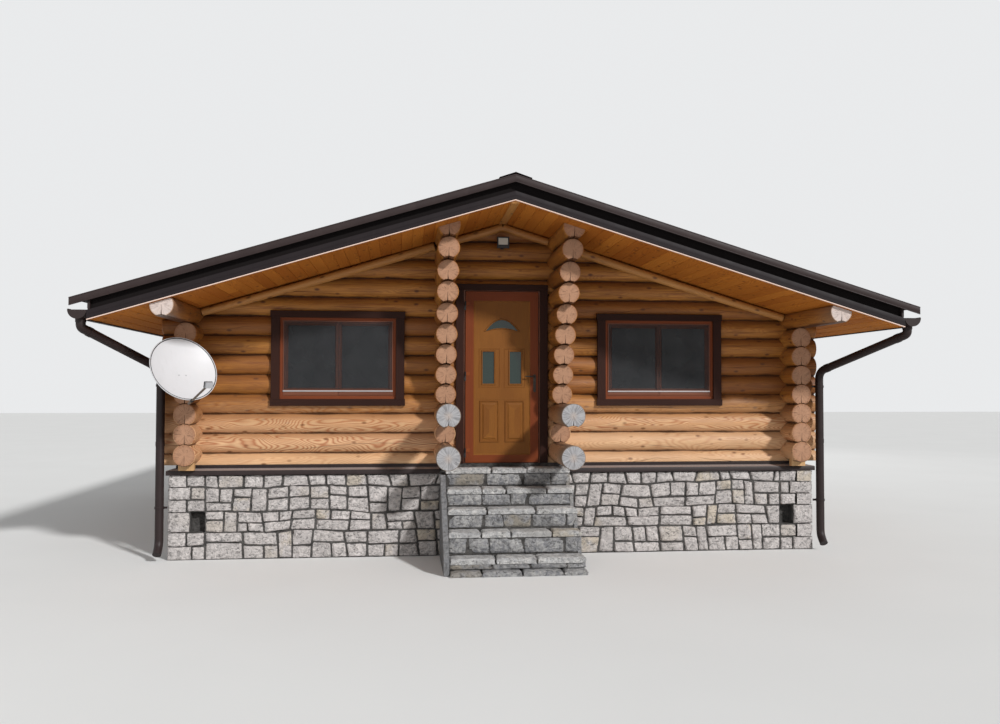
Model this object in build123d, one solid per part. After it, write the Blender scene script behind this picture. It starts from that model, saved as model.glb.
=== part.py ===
from build123d import *
import math
import os

os.makedirs("parts", exist_ok=True)

# Driving sizes, in millimetres

LOG_R = 130.0                 # radius of a turned log
LOG_SIDES = 12                # flats that stand for a log's round outline
PITCH = 235.0                 # height from one log of a wall to the next
SCRIBE_GAP = 0.4              # air between a log and what it is scribed over
SEAT = 0.3                    # air left where one piece rests on another
WALL_X = 3700.0               # side walls' log axes, left and right of the middle
WALL_Y = 3900.0               # front and back walls' log axes
TAIL_X = 340.0                # front and back logs past the side walls' axes
TAIL_Y = 420.0                # side logs past the front and back walls' axes
COURSES = 8                   # courses up to the eaves

PLINTH_TOP = 1000.0           # ledge of the stone plinth
CURB_H = 100.0                # upper part of the plinth, under the logs
CURB_OUT = 150.0
PLINTH_OUT = 230.0            # stone face past the log walls' axes
PLINTH_THICK = 400.0
FLOOR_BEARING = 70.0
VENT_W = 170.0
VENT_H = 240.0
VENT_DEPTH = 160.0
VENT_IN = 340.0               # middle of a vent from the plinth's corner

ROOF_SLOPE = 0.302            # fall of the roof for each unit outward
EAVE_OVER = 705.0             # roof boards past the side walls' axes
OVERHANG = 1480.0             # roof boards past the front and back walls' axes
PURLIN_CUT = 43.4             # roof boards' underside over an eave purlin's axis

DOOR_W = 896.0
DOOR_H = 2090.0
DOOR_THICK = 68.0
DOOR_FACE = 152.0             # outer face of the leaf past the wall's axis
DOOR_FOOT_GAP = 8.0
HINGE_GAP = 8.0
LATCH_GAP = 10.0
HEAD_H = 47.0                 # head of the door frame over the leaf's gap
JAMB_W = 54.0                 # side posts of the door frame
CASING_W = 98.0               # boards around the door
CASING_H = 76.0
CASING_THICK = 35.0

WIN_W = 1400.0                # hole through the logs
WIN_H = 1000.0
WIN_SILL = 770.0              # underside of the front windows' hole over the logs' base
WIN_SHIFT = 220.0             # windows stand this much nearer the door than half way
TRIM_SIDE = 104.0
TRIM_TOP = 82.0
TRIM_LAP = 12.0               # how far the trim boards cover the window frame
TRIM_THICK = 32.0
FRAME_THICK = 90.0
FRAME_BAR = 45.0
SASH_BAR = 58.0
SASH_FOOT = 100.0
MEETING_BAR = 81.0
SASH_THICK = 66.0
PANE_THICK = 24.0

PORCH_GAP = 4.0               # air between the door's boards and the log stacks
PORCH_IN = 300.0              # how far the stacks' short logs reach inside
PORCH_OUT = [1150.0, 300.0, 1150.0, 420.0, 480.0, 550.0, 640.0, 740.0, 880.0, 950.0, 1120.0]
PORCH_TOP_OUT = 1220.0

STEP_LEVELS = [1.0, 0.8, 0.608, 0.402, 0.173, 0.056]
STEP_FRONTS = [420.0, 665.0, 910.0, 1155.0, 1400.0, 1500.0]
STEP_LEFT = -700.0
STEP_RIGHT = 800.0
TREAD_NOSE = 15.0
CHEEK_THICK = 60.0

GUTTER_R = 95.0
GUTTER_SKIN = 4.0
PIPE_R = 50.0
PIPE_OUT = 250.0
PIPE_SIDE = 310.0             # downpipe past the side walls' axes
PIPE_DROP = 497.0             # fall of the slanting part of a downpipe
DISH_R = 390.0
DISH_OUT = 750.0              # middle of the dish past the front wall's axis
POLE_R = 42.0

# Levels that follow from the sizes above

LOG_BASE = PLINTH_TOP + CURB_H
FRONT_Z0 = LOG_BASE + 16.5
SIDE_Z0 = FRONT_Z0 + PITCH / 2
EAVE_Z = SIDE_Z0 + (COURSES - 1) * PITCH
RIDGE_Z = EAVE_Z + PURLIN_CUT + ROOF_SLOPE * WALL_X
EAVE_X = WALL_X + EAVE_OVER
ROOF_HALF_Y = WALL_Y + OVERHANG
HALF_DOOR = DOOR_W / 2
DOOR_HOLE = HALF_DOOR + HINGE_GAP + JAMB_W
DOOR_Z = LOG_BASE + DOOR_FOOT_GAP
DOOR_TOP = DOOR_Z + DOOR_H
DOOR_HOLE_TOP = DOOR_TOP + LATCH_GAP + HEAD_H
CASING_IN = HALF_DOOR + 20
CASING_OUT = CASING_IN + CASING_W
PORCH_X = CASING_OUT + PORCH_GAP + LOG_R
WIN_X = (PORCH_X + WALL_X) / 2 - WIN_SHIFT
WIN_Z = LOG_BASE + WIN_SILL + WIN_H / 2
SIDE_WIN_Z = EAVE_Z - LOG_R - 79 - WIN_H / 2 - TRIM_TOP + TRIM_LAP


# Helpers

def block(x0, x1, y0, y1, z0, z1):
    """A box between two corners."""
    size = Solid.make_box(x1 - x0, y1 - y0, z1 - z0)
    return size.moved(Location((x0, y0, z0)))


def side_of(direction):
    """A level direction square to the one given."""
    along = Vector(*direction).normalized()
    level = Vector(0, 0, 1).cross(along)
    return level if level.length > 0.1 else Vector(1, 0, 0)


def bar(radius, start, direction, length, sides, grow=0.0):
    """A many-sided bar with flats for a round outline; grow moves each flat out."""
    out = radius + grow / math.cos(math.pi / sides)
    plane = Plane(origin=start, x_dir=side_of(direction), z_dir=direction)
    points = []
    for i in range(sides):
        turn = 2 * math.pi * i / sides
        points.append(plane.from_local_coords(Vector(out * math.cos(turn), out * math.sin(turn), 0)))
    face = Face(Wire.make_polygon(points, close=True))
    return Solid.extrude(face, Vector(*direction).normalized() * length)


def prism_y(points, y0, y1):
    """A profile drawn in X and Z, drawn out from y0 to y1."""
    outline = [Vector(x, y0, z) for x, z in points]
    face = Face(Wire.make_polygon(outline, close=True))
    return Solid.extrude(face, Vector(0, y1 - y0, 0))


def prism_x(points, x0, x1):
    """A profile drawn in Y and Z, drawn out from x0 to x1."""
    outline = [Vector(x0, y, z) for y, z in points]
    face = Face(Wire.make_polygon(outline, close=True))
    return Solid.extrude(face, Vector(x1 - x0, 0, 0))


def parts_of(shape):
    """The separate solids in a result, largest first."""
    found = shape.solids() if hasattr(shape, "solids") else list(shape)
    return sorted(found, key=lambda s: -s.volume)


def cut(shape, *tools):
    """Takes each tool from the shape and keeps the largest piece."""
    for tool in tools:
        shape = parts_of(shape - tool)[0]
    return shape


def split(pieces, holes):
    """Takes each hole from each piece and keeps everything that is left."""
    for hole in holes:
        left = []
        for piece in pieces:
            left += parts_of(piece - hole)
        pieces = left
    return pieces


def turn_z(shape, angle):
    """The shape turned about the building's middle."""
    return shape.rotate(Axis.Z, angle)


def mirrored(shape):
    """The shape on the other side of the ridge."""
    return shape.mirror(Plane.YZ)


def save(name, *shapes):
    """Writes one node's solids to its file."""
    solids = []
    for shape in shapes:
        solids += parts_of(shape)
    result = solids[0] if len(solids) == 1 else Compound(children=solids)
    export_step(result, "parts/" + name + ".step")


def roof_under(x):
    """Height of the roof boards' underside at a distance from the ridge."""
    return RIDGE_Z - ROOF_SLOPE * x


reach = EAVE_X + 200
roof_outline = [
    (-reach, 0),
    (reach, 0),
    (reach, roof_under(reach) - SEAT),
    (0, RIDGE_Z - SEAT),
    (-reach, roof_under(reach) - SEAT),
]
ROOF_SPACE = prism_y(roof_outline, -ROOF_HALF_Y - 100, ROOF_HALF_Y + 100)


# Logs: each is scribed over the one below and saddled over the logs that cross under it

def log_x(z, x0, x1, y, grow=0.0):
    """A plain log along X."""
    return bar(LOG_R, (x0, y, z), (1, 0, 0), x1 - x0, LOG_SIDES, grow)


def log_y(z, y0, y1, x, grow=0.0):
    """A plain log along Y."""
    return bar(LOG_R, (x, y0, z), (0, 1, 0), y1 - y0, LOG_SIDES, grow)


def wall_log_x(z, x0, x1, y, crossings, scribed=True):
    """A log of the front or back wall."""
    log = log_x(z, x0, x1, y)
    if scribed:
        log = cut(log, log_x(z - PITCH, x0 - 10, x1 + 10, y, SCRIBE_GAP))
    for x in crossings:
        if x0 < x < x1 and z - PITCH / 2 > SIDE_Z0 - 1:
            log = cut(log, log_y(z - PITCH / 2, y - 400, y + 400, x, SCRIBE_GAP))
    return log


def wall_log_y(z, y0, y1, x, crossings, scribed=True):
    """A log of a side wall, a purlin or a stack beside the door."""
    log = log_y(z, y0, y1, x)
    if scribed:
        log = cut(log, log_y(z - PITCH, y0 - 10, y1 + 10, x, SCRIBE_GAP))
    for y in crossings:
        if y0 < y < y1:
            log = cut(log, log_x(z - PITCH / 2, x - 400, x + 400, y, SCRIBE_GAP))
    return log


def wall_hole(x, y, z):
    """The hole for a window, through a wall along X."""
    return block(x - WIN_W / 2, x + WIN_W / 2, y - 200, y + 200, z - WIN_H / 2, z + WIN_H / 2)


END_X = WALL_X + TAIL_X
END_Y = WALL_Y + TAIL_Y
door_void = block(-DOOR_HOLE, DOOR_HOLE, -WALL_Y - 200, -WALL_Y + 200, 0, DOOR_HOLE_TOP)
sill_saw = block(-END_X - 9, END_X + 9, -END_Y, END_Y, LOG_BASE - 300, LOG_BASE)
stack_top = SIDE_Z0 + len(PORCH_OUT) * PITCH


def wall_rows(y, holes, crossings):
    """The courses of a wall along X up to the eaves, cut by its holes."""
    pieces = []
    for k in range(COURSES):
        log = wall_log_x(FRONT_Z0 + k * PITCH, -END_X, END_X, y, crossings, k > 0)
        if k == 0:
            log = cut(log, sill_saw)
        if k == COURSES - 1:
            log = parts_of(log & ROOF_SPACE)[0]
        pieces += split([log], holes)
    return pieces


def gable_rows(y, holes, crossings):
    """The shortening courses of a gable, cut to the slope of the roof."""
    pieces = []
    z = FRONT_Z0 + COURSES * PITCH
    while z - LOG_R < RIDGE_Z - 120:
        half = min((RIDGE_Z - z + LOG_R) / ROOF_SLOPE, WALL_X - LOG_R)
        log = wall_log_x(z, -half, half, y, crossings)
        log = parts_of(log & ROOF_SPACE)[0]
        pieces += split([log], holes)
        z += PITCH
    return pieces


front_holes = [door_void, wall_hole(-WIN_X, -WALL_Y, WIN_Z), wall_hole(WIN_X, -WALL_Y, WIN_Z)]
front_rows = wall_rows(-WALL_Y, front_holes, [-WALL_X, -PORCH_X, PORCH_X, WALL_X])
save("front_left_logs", *[p for p in front_rows if p.center().X < 0])
save("front_right_logs", *[p for p in front_rows if p.center().X > 0])
save("front_gable_logs", *gable_rows(-WALL_Y, front_holes, [-PORCH_X, PORCH_X]))

back_holes = [wall_hole(-WIN_X, WALL_Y, WIN_Z), wall_hole(WIN_X, WALL_Y, WIN_Z)]
save("back_wall_logs", *wall_rows(WALL_Y, back_holes, [-WALL_X, WALL_X]))
purlin_ways = [log_y(stack_top, WALL_Y - 400, WALL_Y + 400, x, SCRIBE_GAP) for x in (-PORCH_X, PORCH_X)]
save("back_gable_logs", *[cut(log, *purlin_ways) for log in gable_rows(WALL_Y, back_holes, [])])

side_hole = turn_z(wall_hole(0, -WALL_X, SIDE_WIN_Z), -90)
left_rows = []
for k in range(COURSES - 1):
    log = wall_log_y(SIDE_Z0 + k * PITCH, -END_Y, END_Y, -WALL_X, [-WALL_Y, WALL_Y], k > 0)
    left_rows += split([log], [side_hole])
save("left_wall_logs", *left_rows)
save("right_wall_logs", *[turn_z(p, 180) for p in left_rows])

purlin_end = ROOF_HALF_Y - 20
purlin = wall_log_y(EAVE_Z, -purlin_end, purlin_end, -WALL_X, [-WALL_Y, WALL_Y])
purlin = parts_of(purlin & ROOF_SPACE)[0]
save("eave_purlins", purlin, turn_z(purlin, 180))

stack = []
for k, out in enumerate(PORCH_OUT):
    z = SIDE_Z0 + k * PITCH
    stack.append(wall_log_y(z, -WALL_Y - out, -WALL_Y + PORCH_IN, -PORCH_X, [-WALL_Y], k > 0))
save("left_porch_logs", *stack)
save("right_porch_logs", *[mirrored(log) for log in stack])

top_end = WALL_Y + PORCH_TOP_OUT
top_log = wall_log_y(stack_top, -top_end, top_end, -PORCH_X, [-WALL_Y])
top_log = parts_of(top_log & ROOF_SPACE)[0]
save("mid_purlins", top_log, mirrored(top_log))

# Poles under the roof boards on the gables

POLE_SIDES = 8
slope_angle = math.atan(ROOF_SLOPE)
pole_out = WALL_Y + LOG_R + POLE_R + SEAT
pole_drop = (POLE_R + SEAT) / math.cos(slope_angle)


def pole(x0, x1, y):
    """A pole following the roof boards between two distances from the middle."""
    length = (x1 - x0) / math.cos(slope_angle)
    return bar(POLE_R, (x0, y, roof_under(x0) - pole_drop), (1, 0, -ROOF_SLOPE), length, POLE_SIDES)


poles = []
for y in (-pole_out, pole_out):
    for x0, x1 in ((15, PORCH_X - LOG_R - 5), (PORCH_X + LOG_R + 5, WALL_X - LOG_R - 5)):
        poles += [pole(x0, x1, y), mirrored(pole(x0, x1, y))]
save("gable_poles", *poles)

# Plinth and floor

outer_x = WALL_X + PLINTH_OUT
outer_y = WALL_Y + PLINTH_OUT
inner_x = outer_x - PLINTH_THICK
inner_y = outer_y - PLINTH_THICK
curb_x = WALL_X + CURB_OUT
curb_y = WALL_Y + CURB_OUT
ledge_x = inner_x + FLOOR_BEARING
ledge_y = inner_y + FLOOR_BEARING
ring = block(-outer_x, outer_x, -outer_y, outer_y, 0, PLINTH_TOP)
curb = block(-curb_x, curb_x, -curb_y, curb_y, PLINTH_TOP - 1, LOG_BASE - SEAT)
well = block(-inner_x, inner_x, -inner_y, inner_y, -10, PLINTH_TOP + 10)
rest = block(-ledge_x, ledge_x, -ledge_y, ledge_y, PLINTH_TOP, LOG_BASE + 10)
plinth = (ring + curb) - well - rest
vent_mid = PLINTH_TOP * 0.44
vent_low = vent_mid - VENT_H / 2
vent_high = vent_mid + VENT_H / 2
for x in (-outer_x + VENT_IN, outer_x - VENT_IN):
    niche = block(x - VENT_W / 2, x + VENT_W / 2, -outer_y - 10, -outer_y + VENT_DEPTH, vent_low, vent_high)
    plinth = plinth - niche
save("plinth_walls", plinth)

floor_x = ledge_x - SEAT
floor_y = ledge_y - SEAT
save("floor", block(-floor_x, floor_x, -floor_y, floor_y, PLINTH_TOP + SEAT, LOG_BASE - 4))

# Metal skirt over the plinth's ledge

SKIRT_SKIN = 6.0
SKIRT_OUT = PLINTH_OUT + 16
skirt_foot = PLINTH_TOP - 10
skirt_break = PLINTH_TOP + 46
skirt_rise = PLINTH_TOP + 64


def skirt_body(inset, drop):
    """A hipped block as wide as the skirt, less an inset."""
    wide = SKIRT_OUT - inset
    narrow = CURB_OUT + SEAT + SKIRT_SKIN - inset
    wx = WALL_X + wide
    wy = WALL_Y + wide
    nx = WALL_X + narrow
    ny = WALL_Y + narrow
    z0 = skirt_break - drop
    z1 = skirt_rise - drop
    low = Wire.make_polygon([(-wx, -wy, z0), (wx, -wy, z0), (wx, wy, z0), (-wx, wy, z0)])
    high = Wire.make_polygon([(-nx, -ny, z1), (nx, -ny, z1), (nx, ny, z1), (-nx, ny, z1)])
    hip = Solid.make_loft([low, high], ruled=True)
    foot = block(-wx, wx, -wy, wy, skirt_foot - drop, z0)
    neck = block(-nx, nx, -ny, ny, z1, LOG_BASE - SEAT + drop)
    return foot + hip + neck


skirt = skirt_body(0, 0) - skirt_body(SKIRT_SKIN, 5)
gap_left = STEP_LEFT - CHEEK_THICK - 2
gap_right = STEP_RIGHT + 2
skirt_gap = block(gap_left, gap_right, -outer_y - 100, -WALL_Y, skirt_foot - 50, LOG_BASE + 50)
save("plinth_skirt", skirt - skirt_gap)

# Entrance steps

step_edges = [level * (LOG_BASE - 30) for level in STEP_LEVELS]
tread_thick = step_edges[0] - PLINTH_TOP - SEAT
treads = []
riser_back = -outer_y - SEAT
core = block(STEP_LEFT, STEP_RIGHT, -WALL_Y - STEP_FRONTS[-1], riser_back, 0, step_edges[-1])
tread_back = -curb_y - SEAT
for edge, front in zip(step_edges[:-1], STEP_FRONTS[:-1]):
    y_front = -WALL_Y - front
    top = edge - tread_thick - SEAT
    core = core + block(STEP_LEFT, STEP_RIGHT, y_front, riser_back, 0, top)
    treads.append(block(STEP_LEFT, STEP_RIGHT, y_front - TREAD_NOSE, tread_back, top + SEAT, edge))
    tread_back = y_front - SEAT
save("step_core", core)
save("step_treads", *treads)

cheek_front = -WALL_Y - STEP_FRONTS[-2] - 20
cheek_outline = [
    (riser_back, 0),
    (cheek_front, 0),
    (cheek_front, step_edges[-2] + 15),
    (-WALL_Y - STEP_FRONTS[0], PLINTH_TOP - 15),
    (riser_back, PLINTH_TOP - 15),
]
save("step_cheek", prism_x(cheek_outline, STEP_LEFT - CHEEK_THICK, STEP_LEFT - SEAT))

# Wooden blocks under the lowest log ends

BLOCK_HALF = 88.0
BLOCK_DEEP = 70.0
block_y = -WALL_Y - SKIRT_OUT - SEAT
block_low = LOG_BASE - 48
end_block = block(-WALL_X - BLOCK_HALF, -WALL_X + BLOCK_HALF, block_y - BLOCK_DEEP, block_y, block_low, SIDE_Z0)
end_block = cut(end_block, log_y(SIDE_Z0, block_y - 200, block_y + 200, -WALL_X, SEAT))
end_blocks = [end_block, mirrored(end_block)]
save("log_end_blocks", *end_blocks, *[turn_z(b, 180) for b in end_blocks])

# Roof: heights over the underside of the roof boards

BOARD_RISE = 29.0
STEP_RISE = 109.0
PANEL_RISE = 275.0
SHEET_RISE = 299.0
STRIP_LOW = 202.0
FASCIA_LOW = 5.0
STRIP_THICK = 25.0
VERGE_THICK = 27.0
FASCIA_THICK = 25.0
CAP_W = 180.0
sheet_x = EAVE_X + 195
panel_y = ROOF_HALF_Y - 40
sheet_y = ROOF_HALF_Y + 45
fascia_x = EAVE_X + SEAT
fascia_out = fascia_x + FASCIA_THICK
fascia_foot = roof_under(EAVE_X) - 10


def slope_layer(x0, x1, low, high, y0, y1):
    """A layer of the left roof slope between two heights over the roof boards' underside."""
    points = [
        (-x0, roof_under(x0) + low),
        (-x1, roof_under(x1) + low),
        (-x1, roof_under(x1) + high),
        (-x0, roof_under(x0) + high),
    ]
    return prism_y(points, y0, y1)


def both_slopes(name, shape):
    """Saves a left piece and its mirror image on the right."""
    save(name + "_left", shape)
    save(name + "_right", mirrored(shape))


mid = SEAT / 2
boards = slope_layer(mid, EAVE_X, 0, BOARD_RISE, -ROOF_HALF_Y, ROOF_HALF_Y)
both_slopes("roof_boards", boards)
panel = slope_layer(mid, EAVE_X, BOARD_RISE + SEAT, STEP_RISE, -ROOF_HALF_Y, ROOF_HALF_Y)
panel = panel + slope_layer(mid, EAVE_X, STEP_RISE - 1, PANEL_RISE, -panel_y, panel_y)
both_slopes("roof_panel", panel)
sheet = slope_layer(mid, sheet_x, PANEL_RISE + SEAT, SHEET_RISE, -sheet_y, sheet_y)
both_slopes("roof_sheet", sheet)
cap = slope_layer(0, CAP_W, SHEET_RISE + SEAT, SHEET_RISE + 12, -sheet_y, sheet_y)
save("ridge_cap", cap + mirrored(cap))

strips = []
fascias = []
for end in (-1, 1):
    y0, y1 = sorted((end * sheet_y, end * (sheet_y - STRIP_THICK)))
    strips.append(slope_layer(mid, sheet_x, STRIP_LOW, PANEL_RISE, y0, y1))
    y0, y1 = sorted((end * (ROOF_HALF_Y + SEAT), end * (ROOF_HALF_Y + VERGE_THICK)))
    fascias.append(slope_layer(mid, fascia_out, FASCIA_LOW, STEP_RISE, y0, y1))
save("verge_strips", *strips, *[mirrored(s) for s in strips])
save("verge_fascias", *fascias, *[mirrored(s) for s in fascias])

fascia_top = roof_under(fascia_out) + PANEL_RISE
eave = block(-fascia_out, -fascia_x, -ROOF_HALF_Y, ROOF_HALF_Y, fascia_foot, fascia_top)
save("eave_fascias", eave, mirrored(eave))

# Gutters and downpipes

GUTTER_SEGS = 8
PIPE_SIDES = 10
gutter_x = fascia_out + SEAT + GUTTER_R
gutter_z = fascia_foot + 123
gutter_end = ROOF_HALF_Y + 20


def gutter_body(radius, y_end):
    """A half-round bar with its flat side up."""
    points = []
    for i in range(GUTTER_SEGS + 1):
        turn = math.pi * i / GUTTER_SEGS
        points.append((-gutter_x + radius * math.cos(turn), gutter_z - radius * math.sin(turn)))
    return prism_y(points, -y_end, y_end)


gutter = gutter_body(GUTTER_R, gutter_end) - gutter_body(GUTTER_R - GUTTER_SKIN, gutter_end - GUTTER_SKIN)
outlet_y = -ROOF_HALF_Y + 100
outlet = block(-gutter_x - 30, -gutter_x + 30, outlet_y - 30, outlet_y + 30, gutter_z - 200, gutter_z)
gutter = cut(gutter, outlet)
save("gutters", gutter, mirrored(gutter))

pipe_x = WALL_X + PIPE_SIDE
pipe_y = -WALL_Y - PIPE_OUT
pipe_top = gutter_z - GUTTER_R - SEAT
route = [
    Vector(-gutter_x, outlet_y, pipe_top),
    Vector(-gutter_x, outlet_y, pipe_top - 90),
    Vector(-pipe_x, pipe_y, pipe_top - PIPE_DROP),
    Vector(-pipe_x, pipe_y, 190),
    Vector(-pipe_x, pipe_y - 90, 90),
]
rim = []
for i in range(PIPE_SIDES):
    turn = 2 * math.pi * i / PIPE_SIDES
    rim.append(route[0] + Vector(PIPE_R * math.cos(turn), PIPE_R * math.sin(turn), 0))
pipe_face = Face(Wire.make_polygon(rim, close=True))
pipe = Solid.sweep(pipe_face, Wire.make_polygon(route, close=False), transition=Transition.RIGHT)
low_clip = PLINTH_TOP * 0.62
high_clip = FRONT_Z0 + 4 * PITCH
low_stub = block(-pipe_x, -outer_x - SEAT, pipe_y + 30, pipe_y + 46, low_clip - 12, low_clip + 12)
high_stub = block(-pipe_x - 15, -pipe_x + 15, pipe_y, -WALL_Y - LOG_R - SEAT, high_clip - 12, high_clip + 12)
pipe = pipe + low_stub + high_stub
save("downpipe_left", pipe)
save("downpipe_right", mirrored(pipe))


# Windows

def frame_ring(half_w, half_h, x, z, y0, y1):
    """A rectangular window frame standing in X and Z."""
    ring = block(x - half_w, x + half_w, y0, y1, z - half_h, z + half_h)
    in_w = half_w - FRAME_BAR
    in_h = half_h - FRAME_BAR
    return ring - block(x - in_w, x + in_w, y0 - 5, y1 + 5, z - in_h, z + in_h)


def window(x, z, wall):
    """Trim boards, frame with two sashes, and panes for a window in a wall that faces -Y."""
    face = -wall - LOG_R
    in_w = WIN_W / 2 - TRIM_LAP
    in_h = WIN_H / 2 - TRIM_LAP
    out_w = in_w + TRIM_SIDE
    out_h = in_h + TRIM_TOP
    y0 = face - TRIM_THICK
    trims = [
        block(x - out_w, x - in_w, y0, face, z - in_h + SEAT, z + in_h - SEAT),
        block(x + in_w, x + out_w, y0, face, z - in_h + SEAT, z + in_h - SEAT),
        block(x - out_w - 8, x + out_w + 8, y0 - 4, face, z + in_h, z + out_h),
        block(x - out_w - 8, x + out_w + 8, y0 - 4, face, z - out_h, z - in_h),
    ]
    front = face + SEAT
    frames = [frame_ring(WIN_W / 2 - SEAT, WIN_H / 2 - SEAT, x, z, front, front + FRAME_THICK)]
    panes = []
    sash_h = WIN_H / 2 - 2 * SEAT - FRAME_BAR
    sash_w = WIN_W / 2 - 2 * SEAT - FRAME_BAR
    sash_front = front + 12
    pane_front = sash_front + (SASH_THICK - PANE_THICK) / 2
    low = z - sash_h + SASH_FOOT
    high = z + sash_h - SASH_BAR
    for side in (-1, 1):
        near = x + side * SEAT / 2
        far = x + side * sash_w
        a, b = sorted((near, far))
        c, d = sorted((near + side * MEETING_BAR, far - side * SASH_BAR))
        sash = block(a, b, sash_front, sash_front + SASH_THICK, z - sash_h, z + sash_h)
        frames.append(sash - block(c, d, sash_front - 5, sash_front + SASH_THICK + 5, low, high))
        panes.append(block(c + SEAT, d - SEAT, pane_front, pane_front + PANE_THICK, low + SEAT, high - SEAT))
    return trims, frames, panes


all_trims = []
all_frames = []
all_panes = []
places = [
    (-WIN_X, WIN_Z, WALL_Y, 0),
    (WIN_X, WIN_Z, WALL_Y, 0),
    (-WIN_X, WIN_Z, WALL_Y, 180),
    (WIN_X, WIN_Z, WALL_Y, 180),
    (0, SIDE_WIN_Z, WALL_X, 90),
    (0, SIDE_WIN_Z, WALL_X, 270),
]
for x, z, wall, angle in places:
    trims, frames, panes = window(x, z, wall)
    all_trims += [turn_z(p, angle) for p in trims]
    all_frames += [turn_z(p, angle) for p in frames]
    all_panes += [turn_z(p, angle) for p in panes]
save("window_trims", *all_trims)
save("window_frames", *all_frames)
save("window_panes", *all_panes)

# Door frame and the boards around it

face_y = -WALL_Y - LOG_R
leaf_out = -WALL_Y - DOOR_FACE
leaf_in = leaf_out + DOOR_THICK
STOP_GAP = 8.0
STOP_LAP = 18.0
THRESHOLD_H = 25.0
stop_front = leaf_in + STOP_GAP
jamb_back = -WALL_Y + 60
jamb_out = DOOR_HOLE - SEAT
door_frame = block(-jamb_out, jamb_out, face_y + SEAT, jamb_back, LOG_BASE, DOOR_HOLE_TOP - SEAT)
leaf_left = -HALF_DOOR - HINGE_GAP
leaf_right = HALF_DOOR + LATCH_GAP
leaf_space = block(leaf_left, leaf_right, face_y - 50, stop_front, LOG_BASE - 10, DOOR_TOP + LATCH_GAP)
way_half = HALF_DOOR - STOP_LAP
passage = block(-way_half, way_half, face_y - 50, jamb_back + 10, LOG_BASE + THRESHOLD_H, DOOR_TOP - STOP_LAP)
save("door_frame", door_frame - leaf_space - passage)

casing_front = face_y - CASING_THICK
casing_head = DOOR_TOP + 16
casing_foot = LOG_BASE + 4
casing = [
    block(-CASING_OUT, -CASING_IN, casing_front, face_y, casing_foot, casing_head - SEAT),
    block(CASING_IN, CASING_OUT, casing_front, face_y, casing_foot, casing_head - SEAT),
    block(-CASING_OUT, CASING_OUT, casing_front, face_y, casing_head, casing_head + CASING_H),
]
save("door_trim", *casing)

# Door leaf with its lights

PANEL_IN = 10.0
STILE = 100.0
TOP_RAIL = 115.0
FOOT_RAIL = 93.0
LIGHT_W = 142.0
LIGHT_X = 167.0
ARCH_SEGS = 8
ARCH_RISE = 140.0
ARCH_SAG = 40.0
light_low = DOOR_Z + 0.460 * DOOR_H
light_high = DOOR_Z + 0.647 * DOOR_H
arch_ends = DOOR_Z + 0.7675 * DOOR_H
arch_half = HALF_DOOR * 0.446


def arch_prism(inset, y0, y1):
    """The crescent light near the door's top, less an inset."""
    half = arch_half - 4 * inset
    ends = arch_ends + 3 * inset
    top = []
    foot = []
    for i in range(ARCH_SEGS + 1):
        part = 2 * i / ARCH_SEGS - 1
        bow = 1 - part * part
        top.append((part * half, ends + (ARCH_RISE - 4 * inset) * bow))
        foot.append((part * half, ends + ARCH_SAG * bow))
    return prism_y(top + foot[-2:0:-1], y0, y1)


leaf = block(-HALF_DOOR, HALF_DOOR, leaf_out, leaf_in, DOOR_Z, DOOR_TOP)
panel_half = HALF_DOOR - STILE
for y0, y1 in ((leaf_out - 5, leaf_out + PANEL_IN), (leaf_in - PANEL_IN, leaf_in + 5)):
    leaf = leaf - block(-panel_half, panel_half, y0, y1, DOOR_Z + FOOT_RAIL, DOOR_TOP - TOP_RAIL)
glass_mid = (leaf_out + leaf_in) / 2
lights = []
for x in (-LIGHT_X, LIGHT_X):
    a = x - LIGHT_W / 2
    b = x + LIGHT_W / 2
    leaf = leaf - block(a, b, leaf_out - 5, leaf_in + 5, light_low, light_high)
    lights.append(block(a + SEAT, b - SEAT, glass_mid - 10, glass_mid + 10, light_low + SEAT, light_high - SEAT))
leaf = leaf - arch_prism(0, leaf_out - 5, leaf_in + 5)
lights.append(arch_prism(SEAT, glass_mid - 10, glass_mid + 10))
save("door_leaf", leaf)
save("door_glass", *lights)

# Lever handles on both sides of the leaf

SPINDLE_R = 10.0
PLATE_HALF = 16.0
LEVER_OUT = 52.0
handle_x = HALF_DOOR - 46
handle_z = DOOR_Z + 0.503 * DOOR_H


def handle(plate_face, way):
    """A lever on a narrow plate, on the side of the leaf that way points to."""
    y0, y1 = sorted((plate_face + way * SEAT, plate_face + way * 6))
    body = block(handle_x - PLATE_HALF, handle_x + PLATE_HALF, y0, y1, handle_z - 195, handle_z + 25)
    body = body + bar(SPINDLE_R, (handle_x, plate_face + way * 3, handle_z), (0, way, 0), LEVER_OUT - 6, 8)
    y0, y1 = sorted((plate_face + way * (LEVER_OUT - 7), plate_face + way * (LEVER_OUT + 7)))
    return body + block(handle_x - 120, handle_x + 12, y0, y1, handle_z - 9, handle_z + 9)


save("door_handle", handle(leaf_out, -1), handle(leaf_in, 1))

# Hinges: the upper half turns with the leaf, the lower half is on the frame

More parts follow.
